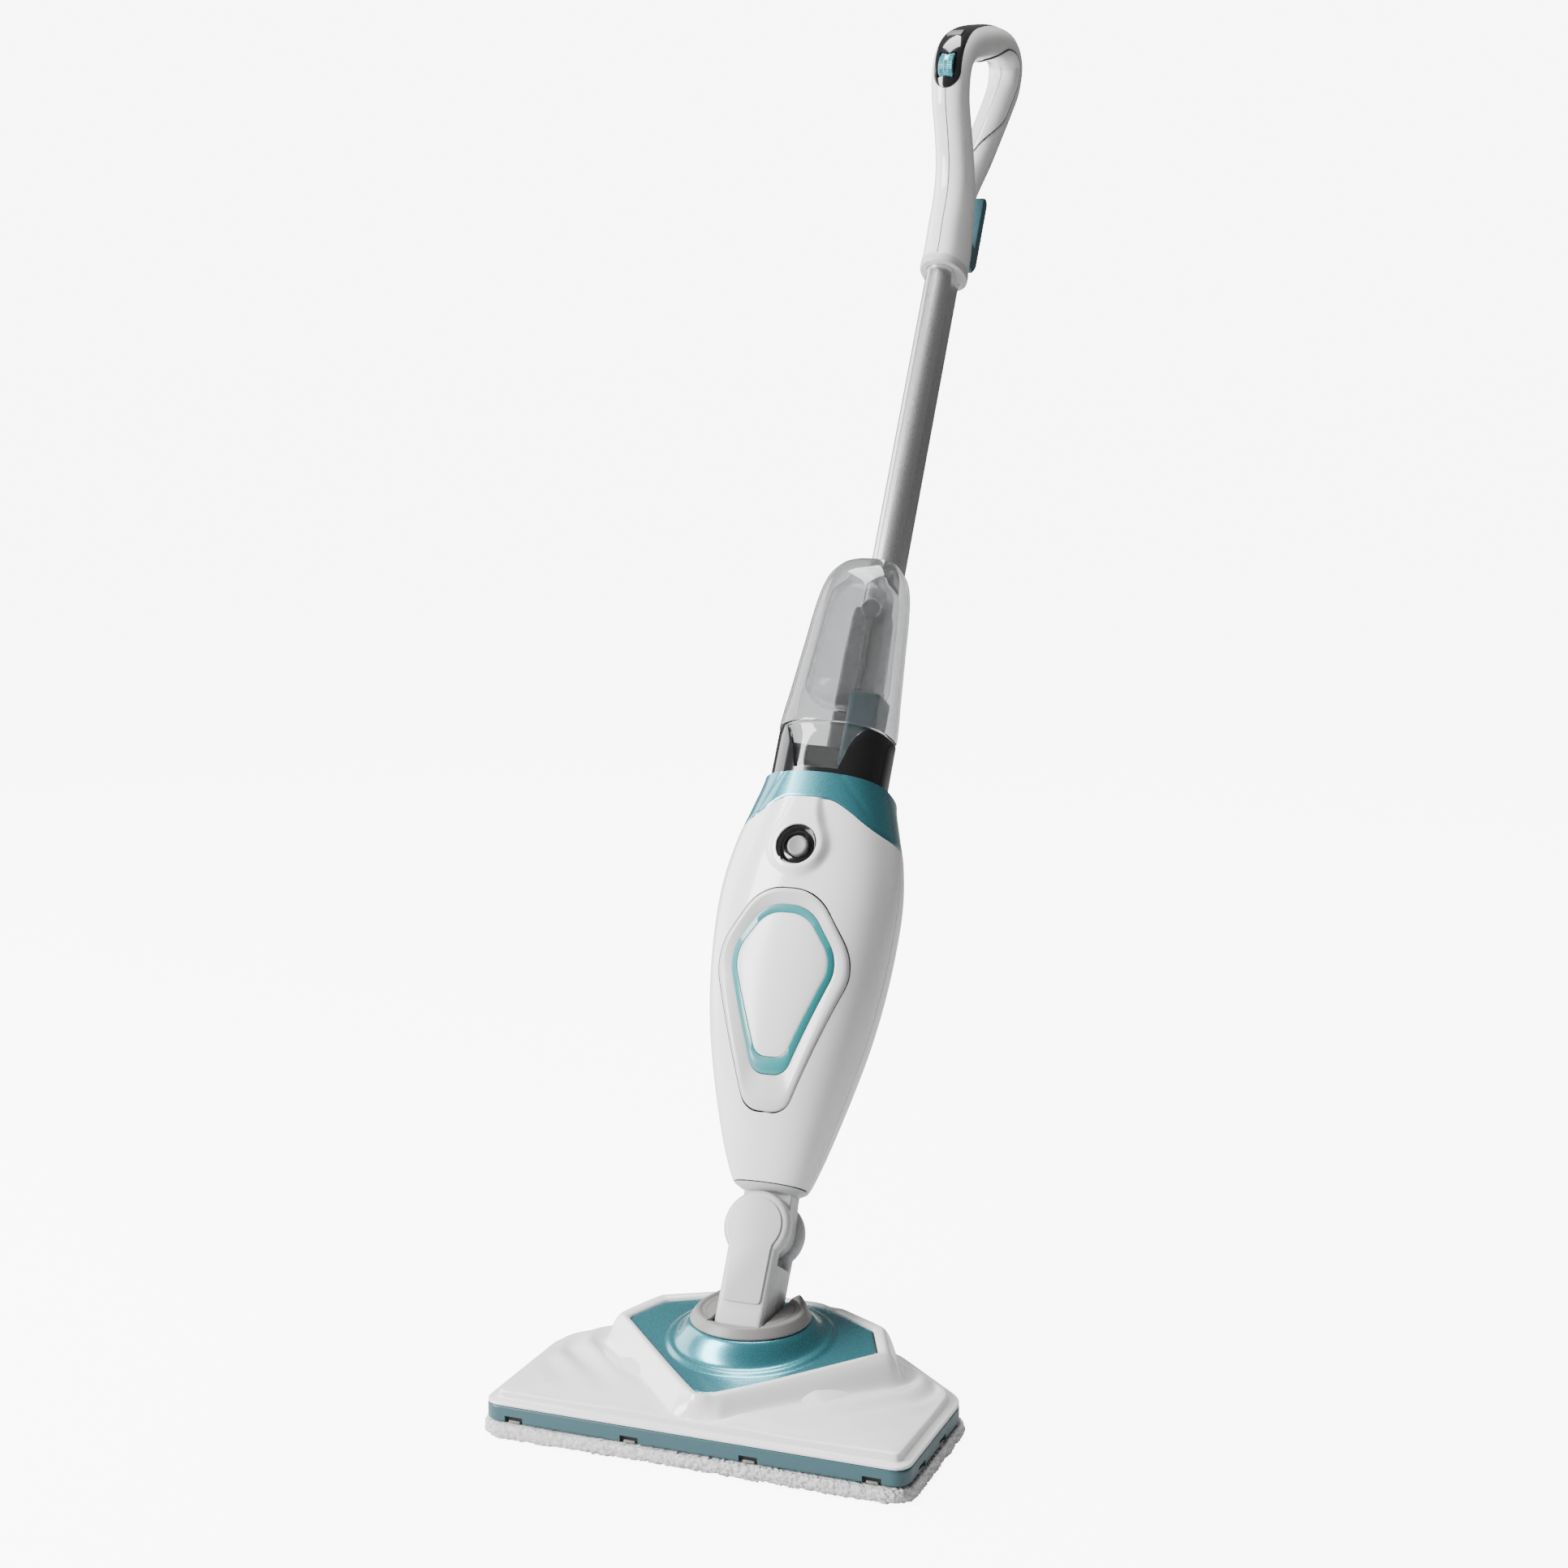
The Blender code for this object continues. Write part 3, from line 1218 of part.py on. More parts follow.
# ---- assembly -----------------------------------------------------------------------------------
def build():
    for old in list(bpy.data.objects):
        bpy.data.objects.remove(old)

    make_mop_pad()
    make_sole_plate()
    make_bumper_band()
    make_pad_clips()
    make_head_cover()
    make_head_panel()
    make_swivel_ring()
    make_tilt_hinge()
    make_steam_manifold()

    frame = axis_empty("lean_frame", None, (0, 0, FOOT_Z))
    frame.rotation_euler = (-LEAN, 0, 0)
    tilt_at = lean(0, 0, TILT_T)
    roll_at = lean(0, 0, ROLL_T)
    tilt = axis_empty("tilt_axis", frame, tilt_at)
    roll = axis_empty("roll_axis", tilt, roll_at - tilt_at)

    for piece in make_neck_parts():
        ride(piece, tilt, tilt_at)

    fixed = make_shells() + make_badge() + make_internals() + make_pipes() + make_screws()
    fixed += [make_bottom_cap(), make_knuckle(), make_collar(), make_pole(), make_spine(), make_tank_seat()]
    bezel, button, switch = make_button()
    handle_parts = make_handle()
    hook, lower_hook = make_hooks()
    fixed += [bezel, switch, lower_hook] + handle_parts[:-1]

    front = bpy.data.objects["front_shell"]
    boolean(front, cutter(rod(lean(0, 0.05, BUTTON_T), lean(0, 0.10, BUTTON_T), 0.0163, 40)))
    boolean(front, badge_opening())
    rear = bpy.data.objects["rear_shell"]
    boolean(rear, cutter(rod(lean(0, -0.010, 0.200), lean(0, -0.040, 0.200), 0.0088, 24)))

    for piece in fixed:
        ride(piece, roll, roll_at)
    moving = (
        ("button_axis", lean(0, BUTTON_AXIS_N, BUTTON_T), [button]),
        ("dial_axis", lean(0, DIAL_N, DIAL_T), [handle_parts[-1]]),
        ("hook_axis", lean(0, HOOK_BACK, HOOK_T), [hook]),
        ("tank_axis", lean(0, 0.038, COLLAR_TOP), make_tank()),
    )
    for name, place, pieces in moving:
        empty = axis_empty(name, roll, place - roll_at)
        for piece in pieces:
            ride(piece, empty, place)
    bpy.context.view_layer.update()


build()
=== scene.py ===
import json
import math

import bmesh
import bpy
from mathutils import Matrix, Vector, noise


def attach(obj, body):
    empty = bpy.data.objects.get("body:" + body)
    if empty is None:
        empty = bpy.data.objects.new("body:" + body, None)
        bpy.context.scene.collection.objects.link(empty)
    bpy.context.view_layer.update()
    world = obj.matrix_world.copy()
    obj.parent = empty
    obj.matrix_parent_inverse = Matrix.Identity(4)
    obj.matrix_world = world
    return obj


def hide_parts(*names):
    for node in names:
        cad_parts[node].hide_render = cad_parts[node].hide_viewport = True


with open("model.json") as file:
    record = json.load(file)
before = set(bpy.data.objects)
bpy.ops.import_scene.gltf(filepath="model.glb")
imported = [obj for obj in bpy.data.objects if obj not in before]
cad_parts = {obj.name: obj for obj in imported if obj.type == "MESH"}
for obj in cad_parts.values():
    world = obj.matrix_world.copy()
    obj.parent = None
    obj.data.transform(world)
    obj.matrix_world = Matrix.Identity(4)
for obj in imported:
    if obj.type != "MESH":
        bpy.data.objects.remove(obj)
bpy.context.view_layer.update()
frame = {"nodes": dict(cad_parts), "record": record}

# ---- sizes, in metres ---------------------------------------------------------------------------
# Above the head everything is placed by x (right), n (front) and t (along the pole), which leans back.
LEAN = math.radians(30)
FOOT_Z = 0.0358
SEAM = 0.0004  # half of the dark line where two mouldings meet
WALL = 0.0022
GAP = 0.0003  # between parts that fit into one another
MERGE = 0.000002

HEAD_FRONT, HEAD_REAR = -0.0925, 0.094
HEAD_HALF, HEAD_REAR_HALF = 0.1565, 0.086
HEAD_SIDE_Y = 0.030
PAD_TOP, PAD_PROUD = 0.0115, 0.0042
BAND_LOW, BAND_TOP = 0.0118, 0.0234
NOTCH_TOP, NOTCH_HALF, CLIP_HALF = 0.0168, 0.0068, 0.0042
NOTCH_X = (-0.132, -0.044, 0.044, 0.132)
NOTCH_Y = (-0.060, -0.0155)
FLANGE_TOP, STEP_TOP, STEP_INSET = 0.0262, 0.0318, 0.0085
CREST = 0.0078  # how far the ridge's crest lies outside the panel
DUNE_HEIGHT, DUNE_PITCH, RIPPLES = 0.0036, 0.0240, 9
RING_Y = 0.0218
RING_LOW_R, RING_LOW_Z, RING_TOP_Z = 0.0435, 0.0662, 0.0743
PANEL_TIP_Z, PANEL_REAR_Z = 0.0449, 0.0560

TILT_T, ROLL_T = 0.0222, 0.1000
NECK_HALF, NECK_FRONT, NECK_REAR = 0.0185, 0.0220, -0.0210
EAR_R, EAR_IN, SLOT_T = 0.0250, 0.0098, 0.0740
REACH_BACK = math.radians(35)
DRUM_R = 0.0176  # closes the ring's slot at every tilt

SPLIT_LOW = 0.1310
COLLAR_LOW, COLLAR_PEAK, COLLAR_TOP = 0.3850, 0.4050, 0.4258
SEAT_DIP, SEAT_TOP = 0.4300, 0.4655
TANK_BACK, TANK_WIDEST = 0.0245, 0.038
BUTTON_T, BUTTON_N = 0.3668, 0.0790
POLE_TOP = 0.9500
DIAL_N, DIAL_T, DIAL_R, DIAL_HALF = 0.0725, 1.0385, 0.0125, 0.0062
HOOK_T, HOOK_BACK = 0.9300, -0.0246

# casing: t, half width, n of the widest line, n of the front, n of the back
CASING = (
    (0.1265, 0.0240, 0.003, 0.0200, -0.0150), (0.1310, 0.0280, 0.005, 0.0240, -0.0175),
    (0.1400, 0.0322, 0.008, 0.0300, -0.0195), (0.1600, 0.0392, 0.013, 0.0405, -0.0220),
    (0.2000, 0.0507, 0.020, 0.0560, -0.0245), (0.2400, 0.0600, 0.025, 0.0670, -0.0262),
    (0.2800, 0.0657, 0.029, 0.0745, -0.0270), (0.3200, 0.0680, 0.032, 0.0790, -0.0272),
    (0.3500, 0.0670, 0.033, 0.0800, -0.0272), (0.3800, 0.0618, 0.034, 0.0795, -0.0272),
    (0.4000, 0.0555, 0.035, 0.0788, -0.0272), (0.4258, 0.0482, 0.037, 0.0780, -0.0272),
    (0.4700, 0.0452, 0.038, 0.0765, -0.0272),
)
# tank: t, half width, n of the front
TANK = (
    (0.4286, 0.0424, 0.0740), (0.4655, 0.0424, 0.0740), (0.4672, 0.0450, 0.0768),
    (0.5000, 0.0425, 0.0733), (0.5400, 0.0392, 0.0693), (0.5750, 0.0362, 0.0655),
    (0.5950, 0.0322, 0.0610), (0.6065, 0.0256, 0.0545), (0.6130, 0.0165, 0.0475),
    (0.6150, 0.0020, 0.0400),
)
# handle's centre line: n, t, half width, half depth
HANDLE = (
    (0.0000, 0.8925, 0.0180, 0.0245), (0.0000, 0.9100, 0.0180, 0.0243),
    (0.0030, 0.9300, 0.0175, 0.0232), (0.0085, 0.9580, 0.0165, 0.0195),
    (0.0205, 0.9820, 0.0155, 0.0165), (0.0390, 1.0020, 0.0150, 0.0150),
    (0.0570, 1.0190, 0.0152, 0.0145), (0.0670, 1.0380, 0.0158, 0.0145),
    (0.0660, 1.0560, 0.0160, 0.0148), (0.0530, 1.0740, 0.0160, 0.0150),
    (0.0270, 1.0960, 0.0155, 0.0145), (-0.0060, 1.1200, 0.0148, 0.0140),
    (-0.0350, 1.1350, 0.0145, 0.0135), (-0.0560, 1.1330, 0.0142, 0.0130),
    (-0.0610, 1.1130, 0.0138, 0.0125), (-0.0530, 1.0860, 0.0134, 0.0122),
    (-0.0400, 1.0520, 0.0132, 0.0122), (-0.0260, 1.0180, 0.0132, 0.0125),
    (-0.0130, 0.9880, 0.0130, 0.0110), (-0.0040, 0.9620, 0.0120, 0.0100),
)
# places along that line, as fractional indexes into it
LOOP_END = 14
BEZEL_FOOT, BEZEL_ROUND, BEZEL_LENGTH = 6.90, 0.50, 5.34
WINDOW_AT = 8.40
INSERT_FROM, INSERT_TO = 10.1, 17.3

TEAL = (0.034, 0.092, 0.110)
PEARL = (0.070, 0.305, 0.365)
WHITE = (0.820, 0.820, 0.815)
PALE = (0.520, 0.525, 0.530)
GREY = (0.195, 0.190, 0.185)
BLACK = (0.010, 0.010, 0.011)
BACKDROP, AMBIENT = 8.0, 0.14
THROUGH_TANK = 0.40  # how much of the backdrop's glow the clear tank lets be seen


# ---- places -------------------------------------------------------------------------------------
def place(x, n, t):
    """World position of a point given across, towards the front and along the pole."""
    return Vector((
        x,
        -n * math.cos(LEAN) + t * math.sin(LEAN),
        FOOT_Z + n * math.sin(LEAN) + t * math.cos(LEAN),
    ))


POLE_FRAME = Matrix.Translation((0, 0, FOOT_Z)) @ Matrix.Rotation(-LEAN, 4, "X")


def front_frame(x, n, t):
    """Turns a part drawn along +Z to face the front at a place on the pole's frame."""
    return POLE_FRAME @ Matrix.Translation((x, -n, t)) @ Matrix.Rotation(math.pi / 2, 4, "X")


def smooth(low, high, value):
    u = min(1.0, max(0.0, (value - low) / (high - low)))
    return u * u * (3 - 2 * u)


def mix(a, b, u):
    return a + (b - a) * u


def power(value, exponent):
    return math.copysign(abs(value) ** exponent, value)


def along(stations, t):
    """Smooth values between stations, whose first column is t."""
    last = len(stations) - 1
    k = max(0, min(last - 1, sum(1 for s in stations if s[0] <= t) - 1))
    a, b = stations[k], stations[k + 1]
    before, after = stations[max(0, k - 1)], stations[min(last, k + 2)]
    step = b[0] - a[0]
    u = min(1.0, max(0.0, (t - a[0]) / step))
    h = (2 * u**3 - 3 * u**2 + 1, u**3 - 2 * u**2 + u, 3 * u**2 - 2 * u**3, u**3 - u**2)
    values = []
    for i in range(1, len(a)):
        slope_a = (b[i] - before[i]) / (b[0] - before[0])
        slope_b = (after[i] - a[i]) / (after[0] - a[0])
        values.append(h[0] * a[i] + h[1] * step * slope_a + h[2] * b[i] + h[3] * step * slope_b)
    return values


def rounded(corners, radii, steps=8):
    """A closed outline of 2D corners, each rounded by its own radius."""
    points = []
    for i, (corner, radius) in enumerate(zip(corners, radii)):
        here = Vector(corner)
        back = (Vector(corners[i - 1]) - here).normalized()
        ahead = (Vector(corners[(i + 1) % len(corners)]) - here).normalized()
        half = back.angle(ahead) / 2
        centre = here + (back + ahead).normalized() * (radius / math.sin(half))
        start = here + back * (radius / math.tan(half)) - centre
        turn = start.angle_signed(here + ahead * (radius / math.tan(half)) - centre)
        points += [centre + Matrix.Rotation(-turn * k / steps, 2) @ start for k in range(steps + 1)]
    return points


def reach(outline, centre, angle):
    """Distance from a centre to an outline in one direction."""
    d, best = Vector((math.cos(angle), math.sin(angle))), 0.0
    for i, p in enumerate(outline):
        e, w = outline[(i + 1) % len(outline)] - p, p - Vector(centre)
        cross = d.x * e.y - d.y * e.x
        if abs(cross) > 1e-12:
            s, u = (w.x * e.y - w.y * e.x) / cross, (w.x * d.y - w.y * d.x) / cross
            if -1e-6 <= u <= 1 + 1e-6:
                best = max(best, s)
    return best


def evenly(outline, count):
    """Points at even steps round a closed outline."""
    ring = list(outline) + [outline[0]]
    lengths = [(b - a).length for a, b in zip(ring, ring[1:])]
    total, points, k, done = sum(lengths), [], 0, 0.0
    for i in range(count):
        want = total * i / count
        while done + lengths[k] < want:
            done += lengths[k]
            k += 1
        points.append(ring[k].lerp(ring[k + 1], (want - done) / max(lengths[k], 1e-9)))
    return points


# ---- making pieces ------------------------------------------------------------------------------
def bent_grid(shape, across, tall):
    """A grid bent by shape(u, v), with u and v from 0 to 1; edges that meet are joined."""
    bm = bmesh.new()
    bmesh.ops.create_grid(bm, x_segments=across, y_segments=tall, size=0.5)
    for vert in bm.verts:
        vert.co = shape(vert.co.x + 0.5, vert.co.y + 0.5)
    bmesh.ops.remove_doubles(bm, verts=bm.verts, dist=MERGE)
    return bm


def rows_grid(rows, closed=True):
    """A surface through matching rows of points, each a closed section; closed joins last to first."""
    count, tall = len(rows[0]), len(rows) - (0 if closed else 1)

    def shape(u, v):
        return rows[round(v * tall) % len(rows)][round(u * count) % count].copy()

    return bent_grid(shape, count, tall)


def filled(bm):
    """Close the open ends of a tube."""
    bmesh.ops.holes_fill(bm, edges=bm.edges, sides=0)
    return bm


def solid(rows):
    """A solid through matching rows of points, with its ends filled."""
    return filled(rows_grid(rows, closed=False))


def dial_bar(half, radius, sides=32):
    """A round bar across the handle, on the dial's axis."""
    return bar(place(-half, DIAL_N, DIAL_T), place(half, DIAL_N, DIAL_T), radius, sides)


def plate(outline, low, high, to_world, bevel=0.0, segments=4):
    """An outline given a thickness, with both faces' edges rounded."""
    bm = bmesh.new()
    verts = [bm.verts.new((p[0], p[1], low)) for p in outline]
    face = bm.faces.new(verts)
    grown = bmesh.ops.extrude_face_region(bm, geom=[face])
    bmesh.ops.translate(
        bm, vec=(0, 0, high - low), verts=[v for v in grown["geom"] if isinstance(v, bmesh.types.BMVert)]
    )
    bmesh.ops.recalc_face_normals(bm, faces=bm.faces)
    if bevel:
        rims = [f for f in bm.faces if len(f.verts) == len(outline)]
        bmesh.ops.bevel(
            bm, geom=list({e for f in rims for e in f.edges}), offset=bevel, segments=segments,
            affect="EDGES", profile=0.5, material=-1,
        )
    bmesh.ops.transform(bm, matrix=to_world, verts=bm.verts)
    return bm


# outlines of x and t, pushed along n; and outlines of n and t, pushed along x
FACING = POLE_FRAME @ Matrix(((1, 0, 0, 0), (0, 0, -1, 0), (0, 1, 0, 0), (0, 0, 0, 1)))
SIDEWAYS = POLE_FRAME @ Matrix(((0, 0, 1, 0), (-1, 0, 0, 0), (0, 1, 0, 0), (0, 0, 0, 1)))
FLAT = Matrix.Identity(4)


def turned(profile, sides, matrix):
    """A profile of (radius, height) points spun round Z."""
    bm = bmesh.new()
    verts = [bm.verts.new((r, 0, z)) for r, z in profile]
    edges = [bm.edges.new(pair) for pair in zip(verts, verts[1:])]
    bmesh.ops.spin(
        bm, geom=verts + edges, axis=(0, 0, 1), cent=(0, 0, 0), steps=sides, angle=math.tau,
        use_merge=True,
    )
    bmesh.ops.remove_doubles(bm, verts=bm.verts, dist=MERGE)
    bmesh.ops.transform(bm, matrix=matrix, verts=bm.verts)
    return bm


def box(low, high, matrix=FLAT, bevel=0.0):
    bm = bmesh.new()
    low, high = Vector(low), Vector(high)
    bmesh.ops.create_cube(bm, size=1.0)
    bmesh.ops.scale(bm, vec=high - low, verts=bm.verts)
    bmesh.ops.translate(bm, vec=(low + high) / 2, verts=bm.verts)
    if bevel:
        bmesh.ops.bevel(
            bm, geom=bm.edges[:], offset=bevel, segments=3, affect="EDGES", profile=0.5, material=-1
        )
    bmesh.ops.transform(bm, matrix=matrix, verts=bm.verts)
    return bm


def bar(start, end, radius, sides=32):
    """A round bar between two world points."""
    run = end - start
    turn = Vector((0, 0, 1)).rotation_difference(run.normalized()).to_matrix().to_4x4()
    bm = bmesh.new()
    bmesh.ops.create_cone(
        bm, cap_ends=True, segments=sides, radius1=radius, radius2=radius, depth=run.length,
        matrix=Matrix.Translation((start + end) / 2) @ turn,
    )
    return bm


def as_object(bm, name="tool"):
    bmesh.ops.recalc_face_normals(bm, faces=bm.faces)
    mesh = bpy.data.meshes.new(name)
    bm.to_mesh(mesh)
    bm.free()
    obj = bpy.data.objects.new(name, mesh)
    bpy.context.scene.collection.objects.link(obj)
    return obj


def carved(bm, *tools, operation="DIFFERENCE"):
    """A solid with others taken out of it, or joined to it."""
    body = as_object(bm)
    for tool in tools:
        other = as_object(tool)
        cut = body.modifiers.new("cut", "BOOLEAN")
        cut.operation, cut.object, cut.solver = operation, other, "EXACT"
        mesh = bpy.data.meshes.new_from_object(body.evaluated_get(bpy.context.evaluated_depsgraph_get()))
        body.modifiers.clear()
        body.data = mesh
        bpy.data.objects.remove(other)
    result = bmesh.new()
    result.from_mesh(body.data)
    bpy.data.objects.remove(body)
    bmesh.ops.remove_doubles(result, verts=result.verts, dist=MERGE)
    assert result.faces, "a cut left nothing"
    return result


def piece(name, bm, body, slot, *nodes, look=None, sharp=32):
    """A finished piece that moves with its body, in its look or else its slot's look; the nodes it stands
    for are hidden.
    """
    bmesh.ops.recalc_face_normals(bm, faces=bm.faces)
    mesh = bpy.data.meshes.new(name)
    bm.to_mesh(mesh)
    bm.free()
    mesh.shade_smooth()
    mesh.set_sharp_from_angle(angle=math.radians(sharp))
    mesh.materials.append(look or LOOKS[slot])
    obj = bpy.data.objects.new(name, mesh)
    bpy.context.scene.collection.objects.link(obj)
    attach(obj, body)
    if nodes:
        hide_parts(*nodes)
    return obj


# ---- finishes -----------------------------------------------------------------------------------
def group(name, inputs, outputs=("Colour", "Roughness", "Height")):
    """An empty shader node group; an input given as a tuple is a colour, the rest are numbers."""
    tree = bpy.data.node_groups.new(name, "ShaderNodeTree")
    for socket, value in inputs.items():
        kind = "NodeSocketColor" if isinstance(value, tuple) else "NodeSocketFloat"
        tree.interface.new_socket(socket, in_out="INPUT", socket_type=kind).default_value = value
    for socket in outputs:
        kind = "NodeSocketColor" if socket == "Colour" else "NodeSocketFloat"
        tree.interface.new_socket(socket, in_out="OUTPUT", socket_type=kind)
    return tree, tree.nodes.new("NodeGroupInput").outputs, tree.nodes.new("NodeGroupOutput").inputs


def node(tree, kind, links=(), **values):
    """A node with its sockets set and linked: links are (own input, other node's output)."""
    made = tree.nodes.new(kind)
    for key, value in values.items():
        if key in made.inputs:
            made.inputs[key].default_value = value
        else:
            setattr(made, key, value)
    for own, output in links:
        tree.links.new(output, made.inputs[own])
    return made


def maths(tree, operation, *terms):
    """The result of a math node; each term is a number or another node's output."""
    made = tree.nodes.new("ShaderNodeMath")
    made.operation = operation
    for own, term in zip(made.inputs, terms):
        if isinstance(term, (int, float)):
            own.default_value = term
        else:
            tree.links.new(term, own)
    return made.outputs[0]


def shaded(tree, colour, amount):
    """A colour made lighter or darker by an amount."""
    made = node(tree, "ShaderNodeVectorMath", [(0, colour), ("Scale", amount)], operation="SCALE")
    return made.outputs[0]


def give(tree, out, **results):
    for name, result in results.items():
        tree.links.new(result, out[name])
    return tree


def moulded_group():
    """Moulded plastic: faint cloudy tone, fine satin grain, and a slow waviness from the mould."""
    tree, given, out = group("moulded surface", {
        "Colour": (0.5, 0.5, 0.5, 1), "Roughness": 0.3, "Grain": 0.2, "Grain Scale": 1500.0,
        "Mottle": 0.04, "Spread": 0.06,
    })
    where = node(tree, "ShaderNodeTexCoord").outputs["Object"]
    cloud = node(tree, "ShaderNodeTexNoise", [("Vector", where)], Scale=24.0, Detail=3.0).outputs["Fac"]
    grain = node(tree, "ShaderNodeTexNoise", [("Vector", where), ("Scale", given["Grain Scale"])],
                 Detail=2.0).outputs["Fac"]
    tone = maths(tree, "MULTIPLY_ADD", cloud, given["Mottle"], 0.98)
    return give(
        tree, out,
        Colour=shaded(tree, given["Colour"], tone),
        Roughness=maths(tree, "MULTIPLY_ADD", grain, given["Spread"], given["Roughness"]),
        Height=maths(tree, "MULTIPLY_ADD", cloud, 0.5, maths(tree, "MULTIPLY", grain, given["Grain"])),
    )


def flake_group():
    """Pearl paint: tiny bright flakes over a tone that drifts slowly."""
    tree, given, out = group("pearl flakes", {"Colour": (0.2, 0.5, 0.5, 1), "Flake": 0.3, "Roughness": 0.3})
    where = node(tree, "ShaderNodeTexCoord").outputs["Object"]
    flakes = node(tree, "ShaderNodeTexVoronoi", [("Vector", where)], Scale=2600.0)
    drift = node(tree, "ShaderNodeTexNoise", [("Vector", where)], Scale=9.0, Detail=2.0).outputs["Fac"]
    spark = node(tree, "ShaderNodeSeparateColor", [("Color", flakes.outputs["Color"])]).outputs
    shine = maths(tree, "MULTIPLY_ADD", spark["Red"], given["Flake"], 0.80)
    return give(
        tree, out,
        Colour=shaded(tree, given["Colour"], maths(tree, "MULTIPLY_ADD", drift, 0.10, shine)),
        Roughness=maths(tree, "MULTIPLY_ADD", spark["Green"], 0.10, given["Roughness"]),
        Height=spark["Blue"],
    )


def drawn_group():
    """Drawn metal: fine lines along the tube, which break up its gloss."""
    tree, given, out = group(
        "drawn lines", {"Colour": (0.7, 0.7, 0.7, 1), "Roughness": 0.25, "Line Scale": 900.0}
    )
    where = node(tree, "ShaderNodeTexCoord").outputs["Object"]
    stretched = node(tree, "ShaderNodeMapping", [("Vector", where)], Rotation=(LEAN, 0, 0),
                     Scale=(1.0, 1.0, 0.012))
    lines = node(tree, "ShaderNodeTexNoise", [("Vector", stretched.outputs[0]),
                 ("Scale", given["Line Scale"])], Detail=3.0, Roughness=0.7).outputs["Fac"]
    return give(
        tree, out,
        Colour=shaded(tree, given["Colour"], maths(tree, "MULTIPLY_ADD", lines, 0.12, 0.93)),
        Roughness=maths(tree, "MULTIPLY_ADD", lines, 0.16, given["Roughness"]),
        Height=lines,
    )


def pile_group():
    """Microfibre: crossing fibres on each loop, with painted shade in the gaps between loops."""
    tree, given, out = group(
        "looped pile", {"Colour": (0.8, 0.8, 0.8, 1), "Shadow": (0.4, 0.4, 0.4, 1)}, ("Colour", "Height")
    )
    where = node(tree, "ShaderNodeTexCoord").outputs["Object"]
    curls = node(tree, "ShaderNodeTexNoise", [("Vector", where)], Scale=520.0, Detail=4.0, Roughness=0.65,
                 Distortion=1.4).outputs["Fac"]
    loops = node(tree, "ShaderNodeTexVoronoi", [("Vector", where)], Scale=420.0).outputs["Distance"]
    fibre = node(tree, "ShaderNodeTexWave", [("Vector", where)], Scale=700.0, Distortion=9.0, Detail=2.0)
    fibre.inputs["Detail Scale"].default_value = 2.0
    gaps = node(tree, "ShaderNodeMapRange", [
        ("Value", maths(tree, "MULTIPLY", maths(tree, "MULTIPLY", loops, 0.9), curls))])
    gaps.inputs["From Min"].default_value, gaps.inputs["From Max"].default_value = 0.05, 0.42
    # painted shade: the gaps between loops are mixed towards the Shadow colour
    painted_shade = node(tree, "ShaderNodeMix", [("Factor", gaps.outputs["Result"])], data_type="RGBA")
    tree.links.new(given["Colour"], painted_shade.inputs[6])
    tree.links.new(given["Shadow"], painted_shade.inputs[7])
    curled = maths(tree, "ADD", fibre.outputs["Fac"], curls)
    relief = maths(tree, "SUBTRACT", curled, gaps.outputs["Result"])
    return give(tree, out, Colour=painted_shade.outputs[2], Height=relief)


def material(name, effect, values, bump, distance, **shader_values):
    """A Principled material fed by one effect group; the rest is set on the shader itself."""
    made = bpy.data.materials.new(name)
    made.use_nodes = True
    tree = made.node_tree
    shader = tree.nodes["Principled BSDF"]
    for key, value in shader_values.items():
        shader.inputs[key.replace("_", " ")].default_value = value
    source = tree.nodes.new("ShaderNodeGroup")
    source.node_tree = effect
    for key, value in values.items():
        source.inputs[key].default_value = value
    tree.links.new(source.outputs["Colour"], shader.inputs["Base Color"])
    if "Roughness" in source.outputs:
        tree.links.new(source.outputs["Roughness"], shader.inputs["Roughness"])
    relief = node(tree, "ShaderNodeBump", [("Height", source.outputs["Height"])], Strength=bump,
                  Distance=distance)
    tree.links.new(relief.outputs["Normal"], shader.inputs["Normal"])
    return made


MOULDED, FLAKES, DRAWN, PILE = moulded_group(), flake_group(), drawn_group(), pile_group()


def plastic(name, colour, roughness, grain=0.2, scale=1500.0, mottle=0.04, bump=0.12, spread=0.06,
            **extra):
    values = {"Colour": (*colour, 1), "Roughness": roughness, "Grain": grain, "Grain Scale": scale,
              "Mottle": mottle, "Spread": spread}
    return material(name, MOULDED, values, bump, 0.0002, **extra)


